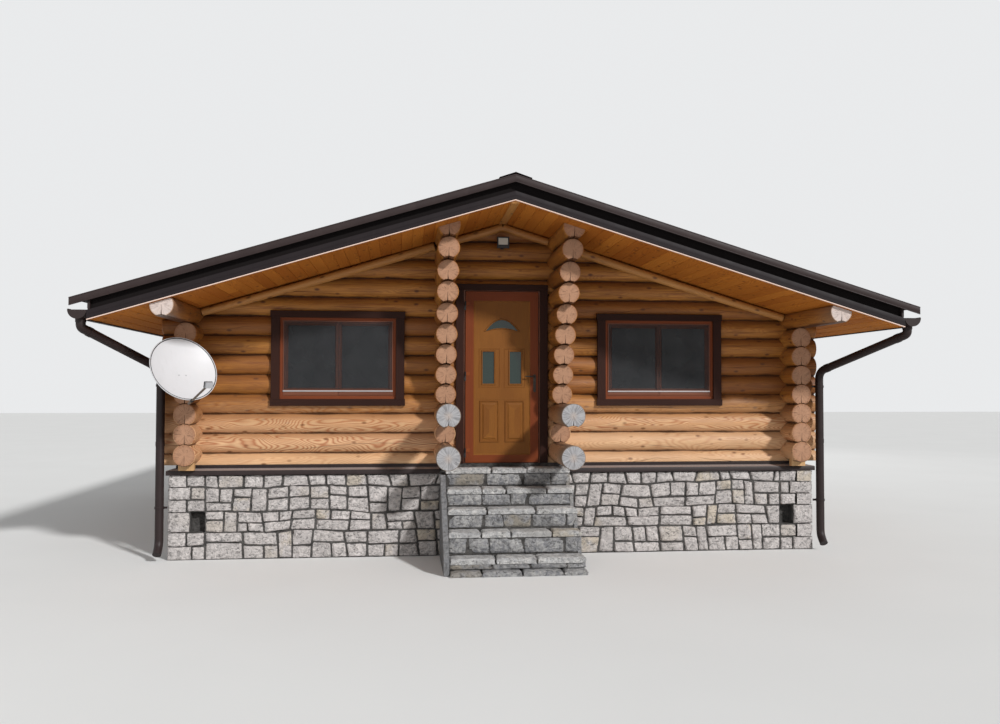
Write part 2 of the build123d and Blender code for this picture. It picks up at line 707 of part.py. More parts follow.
KNUCKLE_R = 9.0
KNUCKLE_H = 55.0
RUN_GAP = 0.4
knuckle_x = -HALF_DOOR - 4
knuckle_y = leaf_out - 12
hinges = []
hinge_seats = []
for level in (0.058, 0.503, 0.915):
    z = DOOR_Z + level * DOOR_H
    upper = Solid.make_cylinder(KNUCKLE_R, KNUCKLE_H, Plane(origin=(knuckle_x, knuckle_y, z + RUN_GAP)))
    hinges.append(upper + block(knuckle_x, knuckle_x + 58, leaf_out - 5, leaf_out - SEAT, z + 8, z + 50))
    lower = bar(KNUCKLE_R, (knuckle_x, knuckle_y, z - KNUCKLE_H), (0, 0, 1), KNUCKLE_H, 8)
    hinge_seats.append(lower + block(-CASING_IN + SEAT, knuckle_x, knuckle_y - 3, knuckle_y + 3, z - 50, z - 8))
save("door_hinges", *hinges)
save("hinge_seats", *hinge_seats)

# Floodlight under the gable

lamp_z = FRONT_Z0 + 11 * PITCH
lamp_back = -WALL_Y - LOG_R - SEAT
arm = block(-15, 15, lamp_back - 120, lamp_back, lamp_z - 10, lamp_z + 10)
post = block(-15, 15, lamp_back - 120, lamp_back - 95, lamp_z - 10, lamp_z + 60)
lamp = block(-75, 75, lamp_back - 150, lamp_back - 100, lamp_z + 40, lamp_z + 156)
save("floodlight", arm + post + lamp)

# Satellite dish on the left corner

DISH_TURN = math.radians(40)
DISH_LIFT = math.radians(25)
DISH_DEPTH = 70.0
DISH_SKIN = 4.0
DISH_SIDES = 20
DISH_RINGS = [1.0, 0.75, 0.4]
HUB_R = 45.0
MAST_R = 24.0
MAST_SIDES = 8
plate_z = SIDE_Z0 + 4 * PITCH
dish_mid = Vector(-WALL_X + 40, -WALL_Y - DISH_OUT, plate_z + 26)
flat = math.cos(DISH_LIFT)
aim = Vector(math.sin(DISH_TURN) * flat, -math.cos(DISH_TURN) * flat, math.sin(DISH_LIFT))
level = Vector(math.cos(DISH_TURN), math.sin(DISH_TURN), 0)
up = aim.cross(level)


def dish_body(back):
    """The bowl filled up to its rim, in rings of flats; back moves it away from its aim."""
    rings = []
    for part in DISH_RINGS:
        centre = dish_mid + aim * (DISH_DEPTH * part * part - back)
        points = []
        for i in range(DISH_SIDES):
            turn = 2 * math.pi * i / DISH_SIDES
            points.append(centre + (level * math.cos(turn) + up * math.sin(turn)) * (DISH_R * part))
        rings.append(Wire.make_polygon(points, close=True))
    return Solid.make_loft(rings, ruled=True)


reflector = dish_body(DISH_SKIN) - dish_body(0)
save("dish_reflector", parts_of(reflector)[0])

foot_y = -END_Y - SEAT
hub_back = dish_mid - aim * 90
hub_front = 90 + DISH_DEPTH * DISH_RINGS[-1] ** 2 - DISH_SKIN - SEAT
hub = bar(HUB_R, hub_back, aim, hub_front, MAST_SIDES)
plate = block(-WALL_X - 70, -WALL_X + 70, foot_y - 10, foot_y, plate_z - 90, plate_z + 90)
mast_start = Vector(-WALL_X, foot_y - 5, plate_z)
mast_line = hub_back + aim * 20 - mast_start
mast = bar(MAST_R, mast_start, mast_line, mast_line.length, MAST_SIDES)

rim_low = dish_mid + aim * DISH_DEPTH - up * (DISH_R + 14 + SEAT)
feed = dish_mid + aim * 490 - up * 400
feed_aim = (dish_mid - feed).normalized()
arm_line = feed - rim_low
dish_arm = bar(11, rim_low, arm_line, arm_line.length, MAST_SIDES)
dish_arm = dish_arm + bar(30, feed - feed_aim * 30, feed_aim, 90, MAST_SIDES)
dish_arm = dish_arm + bar(14, rim_low - aim * 60, aim, 90, MAST_SIDES)
save("dish_mount", plate + mast + hub, dish_arm)
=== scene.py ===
# %% [markdown]
# # A round-log cabin on a stone plinth
# This lesson dresses the construction model of a small log cabin. The model comes in metres, with the ground
# at zero and the entrance front facing -Y. Each step says what a piece is on the real cabin and how it is made
# here. The construction pieces stay hidden behind the dressed ones that stand for them.

# %% Load the construction frame
import bpy
import math
import random
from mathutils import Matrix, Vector, noise


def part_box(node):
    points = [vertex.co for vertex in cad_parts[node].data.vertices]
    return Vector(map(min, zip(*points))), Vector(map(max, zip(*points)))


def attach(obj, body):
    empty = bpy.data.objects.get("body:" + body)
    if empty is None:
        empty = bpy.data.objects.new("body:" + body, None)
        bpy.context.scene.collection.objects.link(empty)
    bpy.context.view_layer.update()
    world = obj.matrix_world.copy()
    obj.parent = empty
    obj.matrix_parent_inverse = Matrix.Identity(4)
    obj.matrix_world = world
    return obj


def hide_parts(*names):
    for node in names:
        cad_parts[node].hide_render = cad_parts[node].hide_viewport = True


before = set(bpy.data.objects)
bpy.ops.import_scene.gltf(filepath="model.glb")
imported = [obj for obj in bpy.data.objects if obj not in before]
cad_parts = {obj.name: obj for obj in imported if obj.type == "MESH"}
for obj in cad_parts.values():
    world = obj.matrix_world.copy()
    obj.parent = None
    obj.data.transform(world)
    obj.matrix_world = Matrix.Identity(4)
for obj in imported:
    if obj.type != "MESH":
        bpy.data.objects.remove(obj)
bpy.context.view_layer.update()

# %% [markdown]
# ## Gathering points and faces
# Nearly every piece here is a long form with a changing section, so one small helper joins rings of points
# with faces. Each point also keeps five numbers that the wood finishes read later: the way along the grain,
# the way across it, a tone of its own for each log or board, how grey the weather has made it, and whether
# it is end grain. Keeping them in the mesh lets one finish serve every log, whichever way it lies.

# %% Form: points, faces and the numbers kept at each point
MARKS = ("along", "across", "tone", "grey", "endgrain")


class Form:
    def __init__(self):
        self.points = []
        self.faces = []
        self.marks = []

    def add(self, point, marks=(0, 0, 0.5, 0, 0)):
        self.points.append(tuple(point))
        self.marks.append(marks)
        return len(self.points) - 1

    def rings(self, rings, marks, caps=True):
        """Joins rings of points, each given with its points' marks, by faces."""
        rows = [[self.add(p, m) for p, m in zip(*pair)] for pair in zip(rings, marks)]
        count = len(rings[0])
        for low, high in zip(rows, rows[1:]):
            for i in range(count):
                j = (i + 1) % count
                self.faces.append((low[i], low[j], high[j], high[i]))
        if caps:
            for end, turn in ((0, -1), (-1, 1)):
                face = [self.add(p, m) for p, m in zip(rings[end], marks[end])]
                self.faces.append(tuple(face[::turn]))

    def loft(self, rings, along, across, tone=0.5, caps=True):
        """Joins rings whose grain runs along one axis and is counted across by another."""
        self.rings(rings, [[(p[along], p[across], tone, 0, 0) for p in ring] for ring in rings], caps)


# %% [markdown]
# ## From a form to an object
# A piece is one mesh object that rides on a body, so that it swings with the door or stays with the house.
# It names the construction pieces it stands for, which are then hidden. Its edges
# are shaded soft below an angle and sharp above it, so that round logs look round and sawn edges crisp.

# %% Objects and finishes put in place
def new_object(name, data):
    made = bpy.data.objects.new(name, data)
    bpy.context.scene.collection.objects.link(made)
    return made


def piece(name, form, finish, slot, *nodes, body="house", soft_angle=35, bevel=0):
    """Turns a form into one object that rides on a body and stands for construction pieces."""
    mesh = bpy.data.meshes.new(name)
    mesh.from_pydata(form.points, [], form.faces)
    for k, label in enumerate(MARKS):
        layer = mesh.attributes.new(label, "FLOAT", "POINT")
        layer.data.foreach_set("value", [float(m[k]) for m in form.marks])
    mesh.materials.append(finish)
    mesh.polygons.foreach_set("use_smooth", [True] * len(mesh.polygons))
    mesh.update()
    mesh.set_sharp_from_angle(angle=math.radians(soft_angle))
    made = new_object(name, mesh)
    if bevel:
        edge = made.modifiers.new("edge", "BEVEL")
        edge.width = bevel
        edge.segments = 2
        edge.limit_method = "ANGLE"
        edge.angle_limit = math.radians(40)
    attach(made, body)
    if nodes:
        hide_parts(*nodes)
    print(name, len(mesh.polygons), "faces")


def dress(node, finish):
    """Gives a construction piece that stays visible its finish."""
    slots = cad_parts[node].data.materials
    slots.clear()
    slots.append(finish)
    print(node, "finished in", finish.name)


# %% [markdown]
# ## Helpers for boards, frames and walls
# A board is a box whose grain runs along one axis. A mitred frame carries one section round four corners,
# the way a picture frame is made, and each run keeps its own grain. The windows repeat on four walls, so a
# place function turns what is made for the entrance wall to the others.

# %% Turning and boards
def turned(angle):
    """A function that turns a point about the middle of the cabin by whole quarter turns."""
    c = round(math.cos(math.radians(angle)))
    s = round(math.sin(math.radians(angle)))
    return lambda p: (p[0] * c - p[1] * s, p[0] * s + p[1] * c, p[2])


AS_IS = turned(0)


def corners_of(u0, u1, v0, v1):
    return [(u0, v0), (u1, v0), (u1, v1), (u0, v1)]


def board(form, low, high, grain, tone=0.5, place=AS_IS):
    """A box between two opposite corners, its grain along axis 0, 1 or 2."""
    low, high = zip(*map(sorted, zip(low, high)))
    a, b = [i for i in range(3) if i != grain]
    rings, marks = [], []
    for end in (low[grain], high[grain]):
        ring = []
        for pa, pb in corners_of(low[a], high[a], low[b], high[b]):
            p = [0, 0, 0]
            p[grain], p[a], p[b] = end, pa, pb
            ring.append(p)
        if grain == 1:
            ring = ring[::-1]
        rings.append([place(p) for p in ring])
        marks.append([(p[grain], p[a] + p[b] + 3 * tone, tone, 0, 0) for p in ring])
    form.rings(rings, marks)


# %% Mitred frame
def mitred(form, x0, x1, z0, z1, section, place=AS_IS, tone=0.5, widths=(1, 1, 1, 1)):
    """Carries a section of (inset, y) points round a rectangle, mitred at the corners.
    widths stretch the inset at the left, foot, right and top."""
    left, foot, right, top = widths
    corners = [(x0, z0, left, foot), (x1, z0, -right, foot), (x1, z1, -right, -top), (x0, z1, left, -top)]
    for k in range(4):
        rings, marks = [], []
        run = 0 if k % 2 == 0 else 2
        for x, z, sx, sz in (corners[k], corners[(k + 1) % 4]):
            ring = [(x + sx * d, y, z + sz * d) for d, y in section]
            rings.append([place(p) for p in ring])
            marks.append([(p[run], p[2 - run] + p[1] + k, tone + 0.07 * k, 0, 0) for p in ring])
        form.rings(rings, marks, caps=False)


# %% [markdown]
# ## A short way to write finishes
# Each finish is a node tree that ends in one Principled shader. Writing node trees by hand is long, so a
# value here stands for one node's output: a sign between two values adds the Math node that works it out, and
# the recipe adds noise, cells and mixes. Numbers that are the same all over a surface go on the shader itself.

# %% Values and trees
class Value:
    """One output of a node. Signs, spans and named functions add the nodes that work on it."""

    def __init__(self, tree, socket):
        self.tree = tree
        self.socket = socket

    def math(self, operation, *others, clamp=False):
        return self.tree.node("ShaderNodeMath", (self, *others), operation=operation, use_clamp=clamp)

    def __add__(self, other):
        return self.math("ADD", other)

    def __mul__(self, other):
        return self.math("MULTIPLY", other)

    def __sub__(self, other):
        return self.math("SUBTRACT", other)

    def __rsub__(self, other):
        return self.tree.node("ShaderNodeMath", (other, self), operation="SUBTRACT")

    def __abs__(self):
        return self.math("ABSOLUTE")

    __radd__ = __add__
    __rmul__ = __mul__

    def span(self, low, high, to_low=0.0, to_high=1.0):
        """Stretches the range low to high onto another and holds it there."""
        return self.tree.node("ShaderNodeMapRange", (self, low, high, to_low, to_high))


# %% Tree: adds nodes and joins them
class Tree:
    def __init__(self, tree):
        self.tree = tree

    def node(self, kind, inputs=(), out=0, **settings):
        """Adds a node. Its inputs come in order, or by name or number in a dictionary."""
        made = self.tree.nodes.new(kind)
        for key, setting in settings.items():
            setattr(made, key, setting)
        for key, value in inputs.items() if isinstance(inputs, dict) else enumerate(inputs):
            self.put(made.inputs[key], value)
        return Value(self, made.outputs[out])

    def put(self, socket, value):
        if isinstance(value, tuple) and any(isinstance(part, Value) for part in value):
            value = self.node("ShaderNodeCombineXYZ", value)
        if isinstance(value, Value):
            self.tree.links.new(value.socket, socket)
        elif isinstance(value, tuple) and socket.type == "RGBA":
            socket.default_value = value + (1.0,)
        elif value is not None:
            socket.default_value = value


# %% Recipe: a finish written as a few calls
class Recipe(Tree):
    def __init__(self, name, rough=0.6, metal=0.0, specular=0.5):
        self.finish = bpy.data.materials.new(name)
        self.finish.use_nodes = True
        super().__init__(self.finish.node_tree)
        self.skin = self.tree.nodes["Principled BSDF"].inputs
        self.skin["Roughness"].default_value = rough
        self.skin["Metallic"].default_value = metal
        self.skin["Specular IOR Level"].default_value = specular

    def mark(self, label):
        return self.node("ShaderNodeAttribute", out="Fac", attribute_name=label)

    def place(self):
        return self.node("ShaderNodeTexCoord", out="Object")

    def parts(self, vector):
        split = self.node("ShaderNodeSeparateXYZ", (vector,)).socket.node
        return [Value(self, socket) for socket in split.outputs]

    def stretch(self, vector, scale):
        return self.node("ShaderNodeMapping", {"Vector": vector, "Scale": scale})

    def noise(self, vector, scale=1.0, detail=3.0, rough=0.5, warp=0.0):
        return self.node("ShaderNodeTexNoise", {"Vector": vector, "Scale": scale, "Detail": detail,
                                                "Roughness": rough, "Distortion": warp})

    def cells(self, vector):
        return self.node("ShaderNodeTexVoronoi", {"Vector": vector, "Scale": 1.0}, out="Distance")

    def mix(self, share, a, b):
        return self.node("ShaderNodeMix", {0: share, 6: a, 7: b}, out=2, data_type="RGBA")

    def done(self, colour, rough=None, height=None, depth=0.002, strength=1.0):
        self.put(self.skin["Base Color"], colour)
        self.put(self.skin["Roughness"], rough)
        if height is not None:
            bump = {"Strength": strength, "Distance": depth, "Height": height}
            self.put(self.skin["Normal"], self.node("ShaderNodeBump", bump))
        return self.finish


# %% [markdown]
# ## Grain
# Sawn or peeled faces show long streaks and, where the knife cut through the growth rings, tall pointed loops.
# Knots are small dark ovals. Here the loops come from a wave of the way across, pushed about by slow noise
# along the log, which is what the rings do. A finish takes three colours: pale, deep and that of the lines.

# %% Grain and woods
WAVE_TURN = 6.283
KNOT_BROWN = (0.10, 0.035, 0.012)


def grain(r, along, across, tone, colours, loops, knots=0.0, lines_per_m=26.0, long=1.0, swing=9.0,
          streaks=0.0):
    """Colour and height of wood: streaks, pointed loops and knots. A bigger long draws the loops out."""
    pale, deep, line = colours
    shift = tone * 37.0
    slow = r.noise((along * (1.1 / long), across * (5.0 / long), shift), detail=2.0)
    wave = slow * swing + across * lines_per_m
    loop = abs((wave * WAVE_TURN).math("SINE")).span(0.15, 0.95, 1.0, 0.0)
    fine = r.noise((along * 4.0, across * 160.0, shift), detail=2.0)
    broad = r.noise((along * 0.7, across * 3.0, shift), detail=2.0)
    base = r.mix((tone * 0.6 + broad).span(0.35, 1.15), pale, deep)
    base = r.mix(loop * loops, base, line)
    base = r.mix(fine.span(0.35, 0.75, 0.0, 0.22), base, line)
    if streaks:
        bold = r.noise((along * 2.1, across * 48.0, shift), detail=4.0, rough=0.6)
        base = r.mix(bold.span(0.47, 0.66, 0.0, streaks), base, line)
    height = fine * 0.35 + loop * -0.5
    if knots:
        knot = r.cells((along * 4.8, across * 9.0, shift)).span(0.08, 0.20, 1.0, 0.0)
        base = r.mix(knot * knots, base, KNOT_BROWN)
        height = height + knot * 0.6
    return base, height


def wood(name, colours, loops, rough, axis=None, gloss=0.4, **more):
    """A wood finish. Its grain's way is read from the marks, or runs along an axis of the cabin."""
    r = Recipe(name, rough=rough, specular=gloss)
    if axis is None:
        along, across, tone = r.mark("along"), r.mark("across"), r.mark("tone")
    else:
        spot = r.parts(r.place())
        along, tone = spot.pop(axis), 0.5
        across = spot[0] + spot[1]
    base, height = grain(r, along, across, tone, colours, loops, **more)
    return r.done(base, None, height, depth=0.0012, strength=0.6)


# %% [markdown]
# ## The side of a log
# The logs are peeled spruce. The upper courses, under the wide roof, are drawn in a dark honey colour with dark
# streaks and smudges, darkest towards the top of each log; that darkness is painted shade. The lower courses
# are drawn pale, as painted sunlight, and some show bold loops. The seam where a log meets the next is painted
# dark as shade, and a thin split wanders along some of the logs.

# %% Log sides
LOG_R = 0.130
# Log colours: the dark set is painted shade for the upper courses under the roof, the pale set is painted
# sunlight for the lower courses.
SHADED_LOG_COLOURS = ((0.57, 0.250, 0.046), (0.29, 0.106, 0.018), (0.15, 0.040, 0.009))
SUNLIT_LOG_COLOURS = ((0.84, 0.585, 0.355), (0.72, 0.465, 0.26), (0.42, 0.170, 0.080))


def log_side(r, along, across, tone):
    shaded_side, shaded_height = grain(r, along, across, tone, SHADED_LOG_COLOURS, 0.30, knots=0.95, streaks=0.6)
    looped = (tone * 7.3).math("FRACT").span(0.25, 0.65, 0.40, 0.95)
    sunlit_side, sunlit_height = grain(r, along, across, tone + 2.0, SUNLIT_LOG_COLOURS, looped, knots=0.8, lines_per_m=24.0, long=1.9,
                              swing=26.0)
    level = r.parts(r.place())[2]
    # lower is 1 on the lower courses, which take the pale painted-sunlight colours, and 0 above, where the
    # painted-shade colours go.
    lower = (r.noise((0.0, 0.0, tone * 9.0)) * 1.1 + level).span(2.05, 2.45, 0.85, 0.0)
    side = r.mix(lower, shaded_side, sunlit_side)
    smudge = r.noise((along * 1.3, across * 4.0, tone * 31.0), detail=5.0, rough=0.6)
    smudge = smudge.span(0.42, 0.72, 0.0, 0.55) * lower.span(0.0, 0.85, 1.0, 0.35)
    side = r.mix(smudge, side, (0.14, 0.048, 0.014))

    uneven = r.noise((along * 2.2, tone * 17.0, 2.0)).span(0.25, 0.75, -0.027, 0.027)
    from_crown = across.math("MINIMUM", 2 * math.pi * LOG_R - across) + uneven
    from_foot = abs(across - math.pi * LOG_R) + uneven
    # The top of each log is painted darker as shade, more on the shaded upper courses.
    top_shade = from_crown.span(0.09, 0.20, 0.52, 0.0) * lower.span(0.0, 0.85, 1.0, 0.3)
    side = r.mix(top_shade, side, (0.17, 0.070, 0.030))
    # Dark bands are painted along both edges of each seam, as the shade in the V between the logs.
    seam_shade = from_foot.span(0.060, 0.088, 0.9, 0.0).math("MAXIMUM", from_crown.span(0.058, 0.076, 0.8, 0.0))
    side = r.mix(seam_shade, side, (0.055, 0.018, 0.007))

    split_at = r.noise((along * 0.55, tone * 11.0, 0.0)).span(0.25, 0.75, 0.14, 0.34)
    split = abs(across - split_at).span(0.0, 0.0028, 1.0, 0.0)
    split = split * r.noise((along * 0.8, tone * 23.0, 4.0), detail=2.0).span(0.52, 0.58)
    side = r.mix(split * 0.9, side, (0.03, 0.010, 0.005))
    return side, shaded_height + sunlit_height * lower - split * 2.5


# %% [markdown]
# ## The end of a log
# The end grain has rings round the heart, cracks that run out from it and one deep check down to the saw cut
# in the underside. The ends come in three ages: fresh and warm, bleached nearly white under the eaves, and
# silver-grey where two long logs stand out in the rain. The mark for grey picks the age.

# %% Log ends
def log_face(r, x, y, tone, grey):
    wide = (x * x + y * y).math("SQRT")
    wobble = r.noise((x * 9.0, y * 9.0, tone), detail=2.0)
    ring = ((wobble * 0.02 + wide) * 820.0).math("SINE")
    turn = y.math("ARCTAN2", x)
    shift = tone * 19.0
    spokes = r.noise((turn * 5.5, wide * 4.0, shift), 2.0, 3.0, 0.6)
    crack = r.noise((wobble * 0.8 + turn * 1.7, wide * 2.0, shift), 2.6, 2.0)
    crack = abs(crack - 0.5).span(0.0, 0.016, 1.0, 0.0).math("MULTIPLY", wide.span(0.010, 0.04), clamp=True)
    check = abs(wobble * 0.03 + (x - 0.015)).span(0.0008, 0.003, 1.0, 0.0) * y.span(-0.004, 0.004, 1.0, 0.0)
    crack = (crack * 0.7).math("MAXIMUM", check)

    def age(light, dark, spoke_span, spoke_colour, edge, edge_colour):
        base = r.mix(ring.span(-1.0, 1.0, 0.0, 0.5), light, dark)
        return r.mix(edge, r.mix(spokes.span(*spoke_span), base, spoke_colour), edge_colour)

    fresh = age((0.43, 0.240, 0.145), (0.29, 0.142, 0.074), (0.4, 0.75, 0.0, 0.45), (0.25, 0.125, 0.075),
                wide.span(0.085, 0.13, 0.0, 0.55), (0.24, 0.095, 0.040))
    bleached = age((0.60, 0.51, 0.47), (0.44, 0.355, 0.32), (0.45, 0.75, 0.0, 0.4), (0.40, 0.27, 0.20),
                   wide.span(0.108, 0.128, 0.0, 0.75), (0.36, 0.20, 0.09))
    silver = age((0.42, 0.41, 0.415), (0.22, 0.22, 0.228), (0.42, 0.66, 0.0, 0.72), (0.13, 0.125, 0.13),
                 (wobble * 0.05 + wide).span(0.035, 0.085, 0.6, 0.0), (0.42, 0.34, 0.29))
    face = r.mix(grey.span(0.0, 0.6), fresh, r.mix(grey.span(0.62, 0.95), bleached, silver))
    face = r.mix(crack * grey.span(0.0, 0.6, 0.9, 0.45), face, (0.045, 0.022, 0.013))
    return face, ring * 0.12 - crack * 2.0


# %% Log finish
def log_finish():
    r = Recipe("log_wood", rough=0.5, specular=0.35)
    along, across, tone, grey, endgrain = (r.mark(label) for label in MARKS)
    side, side_height = log_side(r, along, across, tone)
    face, face_height = log_face(r, along, across, tone, grey)
    shown = r.mix(endgrain, r.mix(grey, side, (0.20, 0.15, 0.115)), face)
    height = side_height * (1.0 - endgrain) + face_height * endgrain
    return r.done(shown, endgrain.span(0.0, 1.0, 0.48, 0.78), height, depth=0.0022, strength=0.8)


LOG_WOOD = log_finish()
print("finish", LOG_WOOD.name)

# %% [markdown]
# ## Finishes: boards, frames and trims
# More woods share the same recipe with other colours. The ceiling boards and the slim poles keep the honey
# stain, the window frames and the door's frame are red-brown, and the trims round the openings are nearly
# black-brown with only a hint of grain.

# %% Other woods
POLE_WOOD = wood("pole_wood", ((0.54, 0.265, 0.075), (0.40, 0.175, 0.042), (0.22, 0.075, 0.018)), 0.3, 0.5,
                 knots=0.8)
BOARD_WOOD = wood("board_wood", ((0.58, 0.215, 0.032), (0.40, 0.125, 0.017), (0.17, 0.05, 0.012)), 0.4, 0.75,
                  knots=0.7, lines_per_m=34.0, gloss=0.08)
FRAME_WOOD = wood("frame_wood", ((0.24, 0.062, 0.020), (0.16, 0.036, 0.012), (0.07, 0.015, 0.007)), 0.3, 0.5,
                  lines_per_m=60.0, gloss=0.15)
SASH_WOOD = wood("sash_wood", ((0.21, 0.066, 0.027), (0.14, 0.040, 0.016), (0.06, 0.015, 0.008)), 0.3, 0.42,
                 lines_per_m=60.0)
TRIM_WOOD = wood("dark_trim", ((0.038, 0.013, 0.008), (0.024, 0.008, 0.005), (0.010, 0.004, 0.003)), 0.35, 0.5,
                 lines_per_m=40.0, gloss=0.12)
FLOOR_WOOD = wood("floor_wood", ((0.46, 0.28, 0.14), (0.36, 0.20, 0.09), (0.20, 0.10, 0.04)), 0.35, 0.4,
                  knots=0.4)
RIM_WOOD = wood("door_rim", ((0.30, 0.095, 0.035), (0.20, 0.055, 0.02), (0.085, 0.02, 0.01)), 0.3, 0.38, axis=2,
                gloss=0.5)
BLOCK_WOOD = wood("block_wood", ((0.62, 0.40, 0.20), (0.48, 0.27, 0.11), (0.26, 0.12, 0.04)), 0.35, 0.6, axis=2,
                  gloss=0.5)
OAK = ((0.27, 0.106, 0.018), (0.165, 0.056, 0.010), (0.055, 0.017, 0.004))
OAK_WOOD = wood("door_moulding", OAK, 0.4, 0.42, lines_per_m=70.0, gloss=0.15)
print("woods", [w.name for w in (POLE_WOOD, BOARD_WOOD, FRAME_WOOD, TRIM_WOOD, FLOOR_WOOD)])

# %% [markdown]
# ## Round logs
# Every wall is a stack of round logs. Each log is scribed over the one below: its underside is hollowed to
# the same round, and a saw cut up the middle of that hollow lets the log dry without splitting elsewhere. A
# plain cylinder would show neither, so the section is drawn here as a distance from the log's heart for each
# direction, and the section is carried along the log with a slow wobble, because the logs are peeled by hand.

# %% Section of a log
PITCH = 0.235
WALL_X = 3.700
WALL_Y = 3.900
FRONT_Z0 = 1.1165
SIDE_Z0 = FRONT_Z0 + PITCH / 2
COURSES = 8
LOG_BASE = 1.100
RIDGE_Z = 4.0398
ROOF_SLOPE = 0.302
HOLLOW = math.acos(PITCH / (2 * LOG_R))
KERF = 0.055
KERF_TOP = 0.052
SCRIBE_GAP = 0.003


def roof_under(x):
    return RIDGE_Z - ROOF_SLOPE * abs(x)


def section_turns(sides=30):
    """Directions round a log from straight up, closer together at the hollow's edges and the saw cut."""
    turns = [k * 2 * math.pi / sides for k in range(sides) if abs(k - sides // 2) > 2]
    for off in (HOLLOW + 0.02, HOLLOW, HOLLOW * 0.6, KERF):
        turns += [math.pi - off, math.pi + off]
    return sorted(turns + [math.pi])


TURNS = section_turns()


def heart_to_skin(turn, hollow):
    down = abs(turn - math.pi)
    if not hollow or down > HOLLOW:
        return LOG_R
    if down < KERF / 2:
        return KERF_TOP
    return PITCH * math.cos(down) - math.sqrt(LOG_R ** 2 - (PITCH * math.sin(down)) ** 2) + SCRIBE_GAP


print("points round a log", len(TURNS))

# %% One log
STATION_GAP = 0.22
CHAMFER = 0.007
TIP_SIZE = 0.95
GREY_REACH = 0.5
SWELL_REACH = 0.6


def log(form, run, side, z, s0, s1, seed, hollow=True, limit=None, ends=(0, 0), radius=1.0, swell=0.0):
    """A log along axis run (0 or 1); side is its other coordinate, s0 and s1 its two ends. It may swell
    towards s0. ends says how grey each end is, and limit may move a point."""
    chance = random.Random(seed)
    tone = chance.random()
    offset = chance.uniform(0, 50)
    radius *= chance.uniform(0.985, 1.0)
    steps = max(3, round((s1 - s0) / STATION_GAP))
    stations = [s0 + (s1 - s0) * k / steps for k in range(1, steps)]
    stations = [s0, s0 + CHAMFER] + stations + [s1 - CHAMFER, s1]
    rings, marks = [], []
    for s in stations:
        tip = TIP_SIZE if s in (s0, s1) else 1.0
        swollen = 1 + swell * max(0.0, 1 - (s - s0) / SWELL_REACH)
        near, its_grey = (s - s0, ends[0]) if s < (s0 + s1) / 2 else (s1 - s, ends[1])
        grey = its_grey * max(0, 1 - near / GREY_REACH)
        ring = []
        for turn in TURNS:
            lump = noise.noise((s * 1.3 + offset, math.sin(turn) * 1.2, math.cos(turn) * 1.2))
            reach = heart_to_skin(turn, hollow) * radius * tip * swollen * (0.988 + 0.022 * lump)
            p = [0, 0, z + reach * math.cos(turn)]
            p[run], p[1 - run] = s, side + reach * math.sin(turn) * (1 if run == 1 else -1)
            ring.append(limit(p) if limit else p)
        rings.append(ring)
        marks.append([(s, turn * LOG_R, tone, grey, 0) for turn in TURNS])
    form.rings(rings, marks, caps=False)
    for ring, way, s, grey in ((rings[0], -1, s0, ends[0]), (rings[-1], 1, s1, ends[1])):
        log_end(form, ring, run, side, z, s, way, tone, grey)


# %% One sawn end
def log_end(form, ring, run, side, z, s, way, tone, grey):
    """The sawn end, in rings round the heart so that the saw cut and the hollow stay open."""
    heart = [0, 0, z]
    heart[run], heart[1 - run] = s, side
    rows, marks = [], []
    for share in (1.0, 0.72, 0.42, 0.12):
        row = []
        for p in ring:
            q = [h + (a - h) * share for h, a in zip(heart, p)]
            q[run] = s + way * 0.0012 * noise.noise((q[0] * 30, q[1] * 30, q[2] * 30 + tone * 9))
            row.append(q)
        rows.append(row)
        marks.append([(q[1 - run] - side, q[2] - z, tone, grey, 1) for q in row])
    start = len(form.faces)
    form.rings(rows, marks, caps=False)
    middle = form.add(heart, (0, 0, tone, grey, 1))
    count = len(ring)
    last = middle - count
    for i in range(count):
        form.faces.append((last + i, last + (i + 1) % count, middle))
    if way < 0:
        form.faces[start:] = [face[::-1] for face in form.faces[start:]]


# %% [markdown]
# ## The four walls
# The wall logs stop at each window and at the doorway, and a log that an opening only nicks keeps its length
# and is trimmed flat there, as a carpenter would do it. The gable logs are cut to the slope of the roof, and
# the lowest logs of the front and back are sawn flat to lie on the plinth. One limit function for each wall
# pulls the points that go too far back to those planes.

# %% Openings and limits
WIN_X = 1.980
WIN_Z = 2.370
SIDE_WIN_Z = 2.100
HALF_W, HALF_H = 0.700, 0.500
DOOR_HOLE = (-0.510, 0.510, 0.0, 3.255)


def openings(*centres):
    return [(x - HALF_W, x + HALF_W, z - HALF_H, z + HALF_H) for x, z in centres]


WINDOW_HOLES = openings((-WIN_X, WIN_Z), (WIN_X, WIN_Z))


def trimmer(run, holes, roofed):
    """Keeps a log's points out of the holes that only nick it, under the roof and over the plinth."""
    def limit(p):
        for s0, s1, low, high in holes:
            if s0 - 0.001 < p[run] < s1 + 0.001:
                if (low + high) / 2 < p[2] < high:
                    p[2] = high
                if low < p[2] < high:
                    p[2] = low
        if roofed:
            p[2] = min(p[2], roof_under(p[0]) - 0.002)
        if run == 0:
            p[2] = max(p[2], LOG_BASE)
        return p
    return limit


# %% One course of a wall
WHOLE_CUT = 0.09
SHORTEST = 0.05


def course(form, run, side, z, s0, s1, holes, seed, roofed=False, hollow=True, ends=(0, 0)):
    """One course of a wall, parted by the holes that take its whole height."""
    whole = [h for h in holes if h[2] < z - WHOLE_CUT and h[3] > z + WHOLE_CUT]
    nicked = [h for h in holes if h not in whole and h[2] < z + LOG_R and h[3] > z - LOG_R]
    spans = [(s0, s1)]
    for hole in whole:
        parts = [part for a, b in spans for part in ((a, min(b, hole[0])), (max(a, hole[1]), b))]
        spans = [part for part in parts if part[1] > part[0]]
    for k, (a, b) in enumerate(sorted(set(spans))):
        if b - a > SHORTEST:
            log(form, run, side, z, a, b, seed + k, hollow, trimmer(run, nicked, roofed), ends)


# %% Front and back walls
END_X = WALL_X + 0.340
END_Y = WALL_Y + 0.420
GABLE_COURSES = 5


